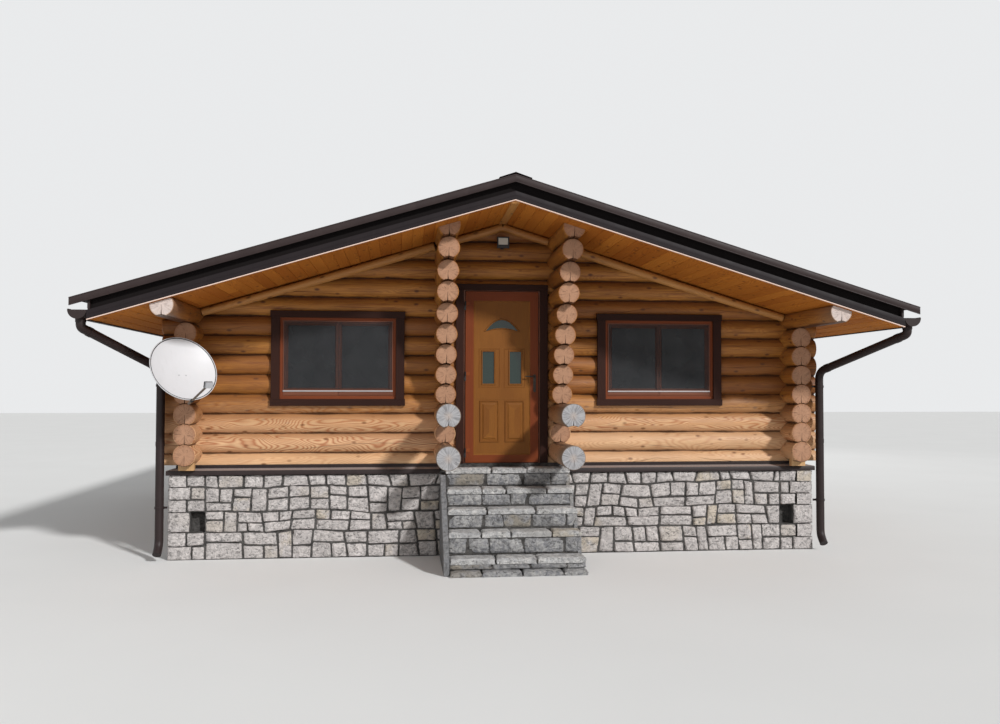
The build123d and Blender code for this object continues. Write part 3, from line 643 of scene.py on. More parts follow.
def gable_wall(y, holes, seed):
    """The courses of the front or back wall in two forms: below the eaves and in the gable."""
    low, high = Form(), Form()
    for k in range(COURSES):
        course(low, 0, y, FRONT_Z0 + k * PITCH, -END_X, END_X, holes, seed + 10 * k, k == COURSES - 1, k > 0)
    for k in range(COURSES, COURSES + GABLE_COURSES):
        z = FRONT_Z0 + k * PITCH
        half = min((RIDGE_Z - z + LOG_R) / ROOF_SLOPE, WALL_X - 0.13)
        if z - LOG_R < RIDGE_Z - 0.12:
            course(high, 0, y, z, -half, half, holes, seed + 10 * k, True)
    return low, high


front_low, front_high = gable_wall(-WALL_Y, WINDOW_HOLES + [DOOR_HOLE], 100)
piece("front_logs", front_low, LOG_WOOD, "log_wood", "front_left_logs", "front_right_logs")
piece("front_gable", front_high, LOG_WOOD, "log_wood", "front_gable_logs")
back_low, back_high = gable_wall(WALL_Y, WINDOW_HOLES, 300)
piece("back_logs", back_low, LOG_WOOD, "log_wood", "back_wall_logs")
piece("back_gable", back_high, LOG_WOOD, "log_wood", "back_gable_logs")

# %% Side walls and eave purlins
PURLIN_END = WALL_Y + 1.460
SIDE_HOLES = openings((0, SIDE_WIN_Z))
for x, label, seed in ((-WALL_X, "left", 500), (WALL_X, "right", 700)):
    form = Form()
    for k in range(COURSES - 1):
        z = SIDE_Z0 + k * PITCH
        course(form, 1, x, z, -END_Y, END_Y, SIDE_HOLES, seed + 10 * k, hollow=k > 0)
    piece(label + "_logs", form, LOG_WOOD, "log_wood", label + "_wall_logs")

form = Form()
for x, seed in ((-WALL_X, 900), (WALL_X, 910)):
    z = SIDE_Z0 + (COURSES - 1) * PITCH
    course(form, 1, x, z, -PURLIN_END, PURLIN_END, [], seed, roofed=True, ends=(0.6, 0.6))
piece("eave_logs", form, LOG_WOOD, "log_wood", "eave_purlins")

# %% [markdown]
# ## The stepped stacks beside the door
# Short logs lie across the front wall on both sides of the doorway, and each reaches a little further out
# than the one below it, so that together they carry the long log under the roof. Two of the lower ones were
# left long, stand out in the weather and have gone grey. Those two are butt ends and swell towards the tip.

# %% Log stacks
STACK_X = 0.700
STACK_TAIL = 0.30
FRESH_SIZE = 0.985
LONG_REACH = 1.15
REACH = [LONG_REACH, 0.30, LONG_REACH, 0.42, 0.48, 0.55, 0.64, 0.74, 0.88, 0.95, 1.12]
BUTT_SWELL = 0.09
for side, label, seed in ((-1, "left", 1000), (1, "right", 1200)):
    form = Form()
    for k, out in enumerate(REACH):
        grey = 1 if out == LONG_REACH else 0
        log(form, 1, side * STACK_X, SIDE_Z0 + k * PITCH, -WALL_Y - out, -WALL_Y + STACK_TAIL, seed + 7 * k,
            k > 0, ends=(grey, 0), radius=1.0 if grey else FRESH_SIZE, swell=BUTT_SWELL * grey)
    piece(label + "_stack", form, LOG_WOOD, "log_wood", label + "_porch_logs")

form = Form()
ROOF_LOG_END = WALL_Y + 1.22
for side, seed in ((-1, 1400), (1, 1410)):
    log(form, 1, side * STACK_X, SIDE_Z0 + len(REACH) * PITCH, -ROOF_LOG_END, ROOF_LOG_END, seed,
        limit=trimmer(1, [], True))
piece("roof_logs", form, LOG_WOOD, "log_wood", "mid_purlins")

# %% [markdown]
# ## Slim poles under the ceiling boards
# Where the gable logs meet the sloping ceiling, a slim peeled pole covers the ragged joint. The poles are
# thinner at one end and not quite straight, so each is a bent, tapering tube instead of a straight bar.

# %% Poles
POLE_R = 0.052
POLE_STEPS = 8
POLE_SPANS = ((0.004, 0.565), (0.835, 3.565))


def tube(form, line, radius, sides=16, tone=0.5):
    """A round tube through a line of points; radius may be one number or one for each point."""
    rings, marks = [], []
    run = 0.0
    across = None
    for n, point in enumerate(line):
        before = Vector(line[max(n - 1, 0)])
        after = Vector(line[min(n + 1, len(line) - 1)])
        ahead = (after - before).normalized()
        if across is None:
            across = ahead.orthogonal()
        across = (across - ahead * across.dot(ahead)).normalized()
        upward = across.cross(ahead)
        run += (Vector(point) - before).length
        size = radius[n] if isinstance(radius, (list, tuple)) else radius
        turns = [2 * math.pi * k / sides for k in range(sides)]
        rings.append([Vector(point) + (across * math.cos(turn) + upward * math.sin(turn)) * size
                      for turn in turns])
        marks.append([(run, turn * size, tone, 0, 0) for turn in turns])
    form.rings(rings, marks)


form = Form()
chance = random.Random(31)
for y in (-WALL_Y - LOG_R - POLE_R, WALL_Y + LOG_R + POLE_R):
    for side in (-1, 1):
        for x0, x1 in POLE_SPANS:
            bend = chance.uniform(-0.006, 0.006)
            line, sizes = [], []
            for k in range(POLE_STEPS + 1):
                share = k / POLE_STEPS
                x = x0 + (x1 - x0) * share
                sag = bend * math.sin(3.1 * share) * (x1 - x0)
                sizes.append(POLE_R * (1.0 - 0.12 * share + 0.02 * chance.uniform(-1, 1)))
                line.append((side * x, y, roof_under(x) - (POLE_R + 0.001) * 1.045 - abs(sag)))
            tube(form, line, sizes, tone=chance.random())
form.points = [(math.copysign(max(abs(x), 0.001), x), y, z) for x, y, z in form.points]
piece("ceiling_poles", form, POLE_WOOD, "pole_wood", "gable_poles")

# %% [markdown]
# ## Finishes: stone, mortar and render
# The plinth is split limestone, pale grey with warm and blue-grey patches and hairline cracks; its pits, the
# low parts of the bumps, are painted dark as shade. The mortar lies back from the stones and is painted dark as
# the shade in the joints. The steps are bigger slabs of the same stone; their risers are painted darker as the
# shade under the treads. Each stone carries a tone of its own in its mesh.

# %% Stone finishes
def stone_finish(name, light, dark, warm, rough=0.85, grime=0.35, pit_shade_share=0.6):
    r = Recipe(name, rough=rough, specular=0.25)
    spot, tone = r.place(), r.mark("tone")
    broad = r.noise(spot, 3.5, 4.0, 0.6)
    patch = r.noise(spot, 16.0, 6.0, 0.68, 0.6)
    lumps = r.noise(r.stretch(spot, (1.0, 1.0, 1.7)), 22.0, 6.0, 0.68, 0.5)
    grit = r.noise(spot, 150.0, 4.0, 0.7)
    base = r.mix(patch.span(0.36, 0.60), dark, light)
    base = r.mix(tone.span(0.0, 1.0, 0.0, 0.6), base, r.mix(0.75, light, dark))
    base = r.mix(tone.span(0.78, 0.90, 0.0, 0.7) * broad.span(0.42, 0.55), base, warm)
    base = r.mix(broad.span(0.45, 0.75, 0.0, grime), base, (0.16, 0.155, 0.15))
    base = r.mix(grit.span(0.35, 0.65, 0.0, 0.18), base, r.mix(0.5, base, (0.12, 0.115, 0.11)))
    # The low parts of the lumps, which the bump sinks, are painted dark as the shade in the pits.
    pit_shade = lumps.span(0.35, 0.47, 1.0, 0.0)
    base = r.mix(pit_shade * pit_shade_share, base, (0.105, 0.10, 0.098))
    vein = abs(r.noise(spot, 9.0, 3.0, 0.5, 1.2) - 0.5).span(0.0, 0.014, 1.0, 0.0)
    base = r.mix(vein * 0.62, base, (0.10, 0.095, 0.09))
    height = grit * 0.25 + patch * 1.3 + lumps * 1.6 - vein * 0.3
    return r.done(base, None, height, depth=0.026, strength=1.0)


STONE = stone_finish("split_stone", (0.86, 0.80, 0.77), (0.56, 0.52, 0.505), (0.74, 0.63, 0.48), grime=0.15,
                     pit_shade_share=0.8)
STEP_STONE = stone_finish("step_stone", (0.78, 0.76, 0.73), (0.42, 0.42, 0.43), (0.58, 0.50, 0.38), grime=0.3)
# Risers: the same stone, painted darker as the shade under the treads' noses.
SHADED_RISER_STONE = stone_finish("riser_stone", (0.56, 0.545, 0.53), (0.20, 0.205, 0.225), (0.42, 0.36, 0.27),
                           grime=0.5, pit_shade_share=0.85)
# Mortar colour: painted shade, so that the joints read dark.
MORTAR_SHADE = stone_finish("mortar", (0.150, 0.140, 0.132), (0.045, 0.042, 0.040), (0.15, 0.13, 0.11), rough=0.95,
                      pit_shade_share=0.3)
RENDER = stone_finish("rough_render", (0.31, 0.31, 0.315), (0.21, 0.21, 0.22), (0.3, 0.29, 0.27), rough=0.95,
                      pit_shade_share=0.3)
print("stones", [s.name for s in (STONE, STEP_STONE, SHADED_RISER_STONE, MORTAR_SHADE, RENDER)])

# %% [markdown]
# ## One rough stone
# A mason squares a stone only roughly: the face bulges, the edges are knocked round and no two corners are
# square. A stone is made as a small lattice over its face, pulled back at the rim and pushed about by noise,
# and then as rings that carry its rim back into the wall.

# %% Lattice of a stone's face and its rim
FACE_STEPS = (0.0, 0.06, 0.18, 0.36, 0.5, 0.64, 0.82, 0.94, 1.0)
RIM_DROPS = (1.0, 0.3, 0.05, 0, 0)
SUNK_MOST = 0.032
PUSH_MOST = 0.013
TOP = len(FACE_STEPS) - 1
RIM = [(i, 0) for i in range(TOP)] + [(TOP, j) for j in range(TOP)]
RIM += [(TOP - i, TOP) for i, _ in RIM[:TOP]] + [(0, TOP - j) for j in range(TOP)]


# %% Rough stone
def rough_stone(form, corners, place, front, depths, tone, bulge, round_off):
    """corners: four (u, v) points; place turns (u, v, w) into a point, where w is the way out."""
    mid_u = sum(c[0] for c in corners) / 4
    mid_v = sum(c[1] for c in corners) / 4
    seed = mid_u * 3.1 + mid_v * 7.7
    lean_u = math.sin(seed * 37.0) * bulge
    lean_v = math.cos(seed * 29.0) * bulge

    def at(a, b):
        foot, head = [[p * (1 - a) + q * a for p, q in zip(*pair)] for pair in (corners[:2], corners[:1:-1])]
        return [p * (1 - b) + q * b for p, q in zip(foot, head)]

    def rim_shift(u, v, w, pull=0.0):
        push = pull + 0.14 * abs(noise.noise((u * 21 + seed, v * 21, w * 21)))
        du, dv = (max(-PUSH_MOST, min(PUSH_MOST, gap * push)) for gap in (mid_u - u, mid_v - v))
        return u + du, v + dv

    grid = []
    for j, b in enumerate(FACE_STEPS):
        row = []
        for i, a in enumerate(FACE_STEPS):
            u, v = at(a, b)
            from_side, from_foot = min(i, TOP - i), min(j, TOP - j)
            edge, corner = min(from_side, from_foot), from_side + from_foot
            drop = round_off * (RIM_DROPS[edge] + 0.35 * (corner < 2))
            lump = 1.5 * noise.noise((u * 11 + seed, v * 11, 3.3))
            lump += 1.1 * noise.noise((u * 27 + seed, v * 27, 7.1))
            lump = bulge * (0.55 - 0.5 * lump) + lean_u * (a - 0.5) + lean_v * (b - 0.5)
            if edge == 0:
                u, v = rim_shift(u, v, 0.0, 0.03 + 0.05 * (corner == 0))
            elif edge == 1:
                u, v = rim_shift(u, v, 0.3)
            sunk = min(drop + max(lump, 0.0), SUNK_MOST)
            row.append(form.add(place(u, v, front - sunk), (u, v, tone, 0, 0)))
        grid.append(row)
    for low, high in zip(grid, grid[1:]):
        for i in range(TOP):
            form.faces.append((low[i], low[i + 1], high[i + 1], high[i]))
    last = [grid[j][i] for i, j in RIM]
    for depth in depths:
        ring = []
        for i, j in RIM:
            u, v = rim_shift(*at(FACE_STEPS[i], FACE_STEPS[j]), depth)
            ring.append(form.add(place(u, v, front - max(depth, round_off * 1.3 + bulge)), (u, v, tone, 0, 0)))
        for k in range(len(ring)):
            n = (k + 1) % len(ring)
            form.faces.append((last[n], last[k], ring[k], ring[n]))
        last = ring


# %% [markdown]
# ## The plinth
# The wall is random masonry: no two stones are the same height and the bed joints don't run through. It is
# laid here in four bands. Each band is cut into cells, and a cell holds one stone or two to three that share it
# in one of five ways, so that the joints step up and down. At the corners deep stones turn from one face to the
# other, in one course from the front and in the next from the side, as a real corner is bonded. The two air
# niches near the front corners stay open.

# %% Plinth measures and bed joints
PLINTH_X = 3.930
PLINTH_Y = 4.130
LEVELS = (0.0, 0.160, 0.320, 0.560, 0.700, 0.850, 0.992)
BANDS = (0.0, 0.320, 0.560, 0.850, 0.992)
CORNER = 0.425
DEEP = 0.213
NICHE_X = (3.505, 3.675)
NICHE_Z = (0.320, 0.560)
JOINT = 0.006


def half_length(number):
    """Half the length of one of the four plinth walls, 0 front, 1 right, 2 back, 3 left."""
    return PLINTH_X if number in (0, 2) else PLINTH_Y


def wall_place(number):
    """Turns face coordinates of a plinth wall into a point."""
    if number in (0, 2):
        side = -1 if number == 0 else 1
        return lambda u, v, w: (u * -side, side * (PLINTH_Y + w), v)
    side = 1 if number == 1 else -1
    return lambda u, v, w: (side * (PLINTH_X + w), u * side, v)


def wander(level, u, number):
    """Height of a bed joint: it wanders, but stays level at the corners and the niches."""
    if level in (0.0, LEVELS[-1]):
        return level
    calm = min(1.0, max(0.0, (half_length(number) - abs(u) - CORNER) / 0.3))
    return level + 0.050 * calm * noise.noise((u * 2.3, level * 31.0, number * 7.0))


# %% One plinth stone
def lay_stone(form, number, sides, band, part, chance, ends=(0, 0), deep=False):
    """One stone in a part (a0, a1, b0, b1) of a cell; sides are the cell's (u, lean) left and right."""
    (u0, lean0), (u1, lean1) = sides
    a0, a1, b0, b1 = part
    quad = []
    for a, b in corners_of(a0, a1, b0, b1):
        u = (u0 + lean0 * (2 * b - 1)) * (1 - a) + (u1 + lean1 * (2 * b - 1)) * a
        foot, head = wander(band[0], u, number), wander(band[1], u, number)
        v = foot + (head - foot) * b
        slack = JOINT / 2 + (0 if deep else chance.uniform(0.0, 0.008))
        u += slack * (not ends[0]) if a == a0 else -slack * (not ends[1])
        v += slack if b == b0 else -slack
        quad.append((u, v))
    depths, bulge, round_off = ((0.034, 0.08, 0.14, 0.21), 0.013, 0.013) if deep else ((0.055,), 0.026, 0.018)
    rough_stone(form, quad, wall_place(number), 0.0, depths, chance.random(), bulge, round_off)


# %% Cells shared by stones
def share_cell(width, height, chance):
    """Ways to fill a cell: one stone, two stacked, or three that interlock."""
    a, b = chance.uniform(0.36, 0.64), chance.uniform(0.36, 0.64)
    if height < 0.2 or (width < 0.24 and height < 0.26 and chance.random() < 0.8):
        return [(0, 1, 0, 1)]
    way = chance.randrange(5)
    if width < 0.27 or way == 0:
        return [(0, 1, 0, b), (0, 1, b, 1)]
    if way == 1:
        return [(0, 1, 0, b), (0, a, b, 1), (a, 1, b, 1)]
    if way == 2:
        return [(0, a, 0, b), (a, 1, 0, b), (0, 1, b, 1)]
    if way == 3:
        return [(0, 0.42, 0, 1), (0.42, 1, 0, b), (0.42, 1, b, 1)]
    return [(0.58, 1, 0, 1), (0, 0.58, 0, b), (0, 0.58, b, 1)]


# %% Corner stones
DEEP_TURNS = (0.24, 0.31)
NICHE_TURN = 0.255


def lay_corners(form, number, chance):
    """The corner stones of one wall, and the stone that ends each course beside them."""
    half = half_length(number)
    for row, band in enumerate(zip(LEVELS, LEVELS[1:])):
        deep = (row + number) % 2 == 0
        for side in (-1, 1):
            niche = number == 0 and band[0] == NICHE_Z[0]
            turn = side * (half - (NICHE_TURN if niche else chance.uniform(*DEEP_TURNS) if deep else DEEP))
            spans = [(side * half, turn, True)] if deep else []
            if not niche:
                spans.append((turn, side * (half - CORNER), False))
            for s0, s1, at_corner in spans:
                u0, u1 = sorted((s0, s1))
                ends = (at_corner and side < 0, at_corner and side > 0)
                lay_stone(form, number, ((u0, 0), (u1, 0)), band, (0, 1, 0, 1), chance, ends, at_corner)


# %% Stones between the corners
TALL_CELLS, LOW_CELLS = (0.20, 0.44, 0.5), (0.13, 0.34, 0.36)
LEAN_MOST = 0.022


def lay_field(form, number, chance):
    """The stones between the corners, band by band. A cell's width lies between the first two numbers of its
    kind, and a rest shorter than the third ends the band."""
    end = half_length(number) - CORNER
    for band in zip(BANDS, BANDS[1:]):
        tall = band[1] - band[0] > 0.2
        least, most, last = TALL_CELLS if tall else LOW_CELLS
        cuts = [-end]
        while cuts[-1] < end - last:
            cuts.append(cuts[-1] + chance.uniform(least, most))
        cuts.append(end)
        leans = [0] + [chance.uniform(-LEAN_MOST, LEAN_MOST) for _ in cuts[2:]] + [0]
        lines = list(zip(cuts, leans))
        for left, right in zip(lines, lines[1:]):
            for part in share_cell(right[0] - left[0], band[1] - band[0], chance):
                lay_stone(form, number, (left, right), band, part, chance)


ends_form, long_form = Form(), Form()
for number in range(4):
    form = long_form if number in (1, 3) else ends_form
    chance = random.Random(50 + number)
    lay_corners(form, number, chance)
    lay_field(form, number, chance)
piece("front_and_back_stones", ends_form, STONE, "stone", "plinth_walls", soft_angle=60)
piece("side_stones", long_form, STONE, "stone", "plinth_walls", soft_angle=60)

# %% [markdown]
# ## Mortar bed
# Behind the stones stands the core of the wall, its mortar painted dark as the shade in the joints. It is a set
# of plain boxes round the rooms and the niches, and a sill of mortar under the lowest logs.

# %% Mortar bed behind the stones
BED = 0.036
INNER_X, INNER_Y, LEDGE = 3.530, 3.730, 0.985
NICHE_DEPTH = 0.160
SILL_X, SILL_Y, SILL_Z = (3.45, 3.85), (3.65, 4.05), (0.97, 1.0997)
BED_X, BED_Y = PLINTH_X - BED, PLINTH_Y - BED
form = Form()
for side in (-1, 1):
    board(form, (side * INNER_X, -INNER_Y, 0.0), (side * BED_X, INNER_Y, LEDGE), 1)
board(form, (-BED_X, INNER_Y, 0.0), (BED_X, BED_Y, LEDGE), 0)
for z0, z1 in ((0.0, NICHE_Z[0]), (NICHE_Z[1], LEDGE)):
    board(form, (-BED_X, -BED_Y, z0), (BED_X, -INNER_Y, z1), 0)
for x0, x1 in ((-BED_X, -NICHE_X[1]), (-NICHE_X[0], NICHE_X[0]), (NICHE_X[1], BED_X)):
    board(form, (x0, -BED_Y, NICHE_Z[0]), (x1, -INNER_Y, NICHE_Z[1]), 0)
for side in (-1, 1):
    board(form, (side * NICHE_X[0], -PLINTH_Y + NICHE_DEPTH, NICHE_Z[0]),
          (side * NICHE_X[1], -INNER_Y, NICHE_Z[1]), 0)
for side in (-1, 1):
    board(form, (-SILL_X[1], side * SILL_Y[0], SILL_Z[0]), (SILL_X[1], side * SILL_Y[1], SILL_Z[1]), 0)
for side in (-1, 1):
    board(form, (side * SILL_X[0], -SILL_Y[0], SILL_Z[0]), (side * SILL_X[1], SILL_Y[0], SILL_Z[1]), 1)
piece("mortar_bed", form, MORTAR_SHADE, "stone", "plinth_walls")

# %% [markdown]
# ## The entrance steps
# Five treads of flat stones lie on a rubble core. The nose of each slab is worn round. Short squared stones
# fill the risers a little behind the noses, and the left side is closed by a thin rendered cheek, whose
# construction piece is kept and only given its finish.

# %% Treads
STEP_X = (-0.700, 0.800)
TREAD_TOPS = (1.070, 0.856, 0.6506, 0.4301, 0.1851)
TREAD_FRONTS = (0.42, 0.665, 0.91, 1.155, 1.40)
TREAD_THICK = 0.0697
NOSE = 0.015
BASE_TOP = 0.0599
BACK = 0.2303
STEP_BACK = -WALL_Y - BACK
chance = random.Random(77)


def lying(height):
    return lambda u, v, w: (u, v, height + w)


def step_stone(form, quad, place, depths, bulge, round_off, front=-0.001):
    rough_stone(form, quad, place, front, depths, chance.random() * 0.95, bulge, round_off)


def inner(x):
    """1 for a joint within the flight, 0 at its two sides."""
    return int(STEP_X[0] + 0.01 < x < STEP_X[1] - 0.01)


form = Form()
for k, (top, out) in enumerate(zip(TREAD_TOPS, TREAD_FRONTS)):
    front = -WALL_Y - out
    back = STEP_BACK if k == 0 else -WALL_Y - TREAD_FRONTS[k - 1] + NOSE
    slabs = 4 if k % 2 else 3
    cuts = [STEP_X[0] + 1.5 * (n + chance.uniform(-0.16, 0.16)) / slabs for n in range(1, slabs)]
    cuts = [STEP_X[0]] + cuts + [STEP_X[1]]
    for x0, x1 in zip(cuts, cuts[1:]):
        nose = chance.uniform(0.0, 0.006)
        lean = chance.uniform(-0.012, 0.012)
        quad = [(x0 + 0.003, front + nose), (x1 - 0.003, front + nose * 0.5),
                (x1 - 0.003 + lean * inner(x1), back), (x0 + 0.003 + lean * inner(x0), back)]
        step_stone(form, quad, lying(top), (0.020, 0.038, 0.056, TREAD_THICK - 0.002), 0.005, 0.012)
piece("tread_slabs", form, STEP_STONE, "step_stone", "step_treads", soft_angle=50)

# %% Risers and the rubble behind them
SETBACK = 0.026
RISER_WIDTHS, SIDE_WIDTHS = (0.20, 0.48), (0.18, 0.34)
BASE_DEPTHS = (0.03, 0.045, 0.0585)
form = Form()
core = Form()
for top, out, below in zip(TREAD_TOPS, TREAD_FRONTS, TREAD_TOPS[1:] + (BASE_TOP,)):
    high = top - TREAD_THICK - 0.001
    front = -WALL_Y - out + 0.004
    x = STEP_X[0] + 0.002
    while x < STEP_X[1] - 0.05:
        wide = chance.uniform(*RISER_WIDTHS)
        x1 = STEP_X[1] - 0.004 if x + wide > STEP_X[1] - 0.12 else x + wide
        tilt = chance.uniform(-0.03, 0.03) * inner(x1)
        quad = [(x + 0.001, below + 0.001), (x1 - 0.001 + tilt, below + 0.001), (x1 - 0.001, high),
                (x + 0.001, high)]
        step_stone(form, quad, lambda u, v, w, y=front: (u, y - w, v), (0.05,), 0.015, 0.014, front=0.0)
        x = x1
    y = -WALL_Y - out + 0.006
    low = below - (0.0 if below == BASE_TOP else TREAD_THICK) + 0.003
    while y < STEP_BACK - 0.05:
        y1 = min(y + chance.uniform(*SIDE_WIDTHS), STEP_BACK)
        y1 = STEP_BACK if STEP_BACK - y1 < 0.1 else y1
        quad = corners_of(y + 0.004, y1 - 0.004, low, high - 0.003)
        step_stone(form, quad, lambda u, v, w: (STEP_X[1] + w, u, v), (0.05,), 0.008, 0.010)
        y = y1
    board(core, (STEP_X[0], -WALL_Y - out + SETBACK, low - 0.003), (STEP_X[1] - SETBACK, STEP_BACK, high), 0)

# %% Base stones
BASE_FRONT = -WALL_Y - 1.50
x = STEP_X[0]
while x < STEP_X[1] - 0.05:
    x1 = STEP_X[1] if x + 0.5 > STEP_X[1] - 0.15 else x + chance.uniform(0.34, 0.5)
    step_stone(form, corners_of(x + 0.002, x1 - 0.002, BASE_FRONT, BASE_FRONT + 0.5), lying(BASE_TOP),
               BASE_DEPTHS, 0.005, 0.012)
    x = x1
y = BASE_FRONT + 0.5
while y < STEP_BACK - 0.05:
    y1 = min(y + 0.42, STEP_BACK)
    step_stone(form, corners_of(STEP_X[1] - 0.20, STEP_X[1] - 0.001, y + 0.002, y1 - 0.002), lying(BASE_TOP),
               BASE_DEPTHS, 0.005, 0.012)
    y = y1
board(core, (STEP_X[0], BASE_FRONT + 0.2, 0.0), (STEP_X[1] - SETBACK, STEP_BACK, BASE_TOP - 0.003), 0)
piece("riser_stones", form, SHADED_RISER_STONE, "step_stone", "step_core", soft_angle=60)
# The rubble core behind the risers is finished in the mortar's painted shade.
piece("step_rubble", core, MORTAR_SHADE, "step_stone", "step_core")
dress("step_cheek", RENDER)

# %% [markdown]
# ## Finishes: metals, paint and glass
# The roof edge, gutters and pipes are sheet steel with a dark brown coating that shows a faint dust film and
# fine dimples; on the skirt the faces turned upward are painted paler as a highlight. The fittings are black,
# the dish is off-white paint with rain streaks, its arm is painted bronze and its wall bracket galvanised. The
# glass is dark with a soft shine because the rooms behind it are unlit.

# %% Coated finish
def coated(name, colour, worn, rough, metal=0.0, dust=0.25, gloss=0.5, scale=6.0, top_highlight=0.0):
    r = Recipe(name, rough=rough, metal=metal, specular=gloss)
    spot = r.place()
    cloud = r.noise(spot, scale, 5.0, 0.6)
    fleck = r.noise(spot, 260.0, 2.0)
    streak = r.noise(r.stretch(spot, (9.0, 9.0, 0.8)), 2.0, 3.0, 0.6)
    base = r.mix(cloud.span(0.35, 0.75, 0.0, dust), colour, worn)
    base = r.mix(streak.span(0.55, 0.8, 0.0, dust), base, worn)
    # Faces turned upward are painted paler, as a highlight where the light falls on them.
    if top_highlight:
        upward = r.parts(r.node("ShaderNodeNewGeometry", out="Normal"))[2]
        base = r.mix(upward.span(0.6, 0.97, 0.0, top_highlight), base, (0.36, 0.30, 0.28))
    shine = (cloud + fleck * 0.3).span(0.3, 0.95, rough - 0.08, rough + 0.14)
    return r.done(base, shine, fleck, depth=0.0003, strength=0.35)


# %% Metals and paints
BROWN, BROWN_WORN = (0.018, 0.0105, 0.010), (0.042, 0.028, 0.027)
ROOF_METAL = coated("roof_metal", (0.022, 0.0125, 0.012), (0.050, 0.034, 0.032), 0.5, gloss=0.25)
DARK_METAL = coated("dark_metal", BROWN, BROWN_WORN, 0.45, gloss=0.25)
# The skirt's upward faces carry a painted highlight.
SKIRT_METAL = coated("skirt_metal", BROWN, BROWN_WORN, 0.45, gloss=0.25, top_highlight=0.8)
FASCIA_METAL = coated("fascia_metal", (0.012, 0.0085, 0.0095), (0.026, 0.019, 0.020), 0.5, gloss=0.14)
# The roof panels show only in the gap under the verge strip; their near-black colour is painted shade for that
# gap.
RECESS_SHADE = coated("painted_shade_recess", (0.008, 0.006, 0.006), (0.013, 0.010, 0.010), 0.8, gloss=0.1)
# The drip edge's pale colour is a painted highlight where the light catches the edge of the fascia.
PAINTED_HIGHLIGHT_DRIP = coated("drip_edge_painted_highlight", (0.74, 0.55, 0.46), (0.55, 0.40, 0.33), 0.4)
BLACK_METAL = coated("black_metal", (0.014, 0.014, 0.015), (0.04, 0.038, 0.036), 0.4)
BRONZE = coated("handle_metal", (0.030, 0.024, 0.020), (0.09, 0.075, 0.06), 0.32, metal=0.6)
STEEL_STRIP = coated("sill_strip", (0.44, 0.42, 0.42), (0.30, 0.29, 0.29), 0.35, metal=0.5)
DISH_PAINT = coated("dish_paint", (0.60, 0.60, 0.615), (0.50, 0.50, 0.50), 0.42, dust=0.3, scale=3.0)
HEAD_PAINT = coated("head_paint", (0.36, 0.36, 0.375), (0.27, 0.27, 0.28), 0.5)
ARM_PAINT = coated("arm_paint", (0.15, 0.115, 0.09), (0.26, 0.21, 0.17), 0.45, metal=0.4)
ZINC = coated("galvanised", (0.42, 0.43, 0.44), (0.26, 0.27, 0.28), 0.42, metal=0.7, dust=0.6, scale=40.0)
RUBBER = coated("rubber_seal", (0.010, 0.010, 0.011), (0.02, 0.02, 0.02), 0.6)
LAMP_FACE = coated("lamp_face", (0.58, 0.58, 0.52), (0.45, 0.44, 0.36), 0.25)
print("metals", [m.name for m in (ROOF_METAL, DARK_METAL, SKIRT_METAL, FASCIA_METAL, ZINC)])


# %% Glass
def glass_finish(name, deep, sheen):
    r = Recipe(name, rough=0.06, specular=0.7)
    spot = r.place()
    blur = r.noise(spot, 2.3, 3.0, 0.55)
    film = r.noise(spot, 30.0, 4.0, 0.6)
    # The sheen colour, in soft blotches over the deep one, is a painted reflection.
    return r.done(r.mix(blur.span(0.35, 0.7), deep, sheen), film.span(0.3, 0.8, 0.05, 0.13))


GLASS = glass_finish("dark_glass", (0.012, 0.014, 0.015), (0.024, 0.030, 0.030))
DOOR_GLASS = glass_finish("door_glass", (0.004, 0.014, 0.009), (0.010, 0.024, 0.018))
print("glass", GLASS.name, DOOR_GLASS.name)

# %% [markdown]
# ## The roof
# The ceiling seen from below is matchboard: narrow boards with a small V at every joint, running from front
# to back. On top lies sheet steel with standing seams half a metre apart, and a folded cap covers the ridge.
# Every strip of the roof follows one slope, so a small function sets a section's height above that slope.

# %% Ceiling boards
EAVE_X = 4.405
ROOF_Y = 5.380
BOARD_W = 0.1224
BOARD_T = 0.029
VEE = 0.006
HAIR = 0.0004


def on_slope(side, x, y, rise):
    return (side * x, y, roof_under(x) + rise)


for side, label, seed in ((-1, "left", 51), (1, "right", 52)):
    form = Form()
    chance = random.Random(seed)
    rows = round(EAVE_X / BOARD_W)
    for row in range(rows):
        x0, x1 = EAVE_X * row / rows, EAVE_X * (row + 1) / rows
        section = [(x0 + HAIR, VEE * 0.8), (x0 + VEE, 0.0), (x1 - VEE, 0.0), (x1 - HAIR, VEE * 0.8),
                   (x1 - HAIR, BOARD_T - 0.001), (x0 + HAIR, BOARD_T - 0.001)]
        breaks = sorted([-ROOF_Y, ROOF_Y] + [chance.uniform(-ROOF_Y + 0.8, ROOF_Y - 0.8) for _ in range(2)])
        for y0, y1 in zip(breaks, breaks[1:]):
            tone = chance.random()
            rings = [[on_slope(side, x, y, rise + 0.0005 * tone) for x, rise in section]
                     for y in (y0 + 0.0006, y1 - 0.0006)]
            form.rings(rings, [[(y, x + 0.9 * tone, tone, 0, 0) for x, _ in section] for y in (y0, y1)])
    piece("ceiling_boards_" + label, form, BOARD_WOOD, "board_wood", "roof_boards_" + label, soft_angle=20)

# %% Ridge board under the ceiling
RIDGE_BOARD = 0.045
WALL_CLEAR = 4.125


def mirrored(half, middle):
    """A whole outline from its right half, given from the edge inwards, and its middle point."""
    return [(-x, z) for x, z in half] + middle + half[::-1]


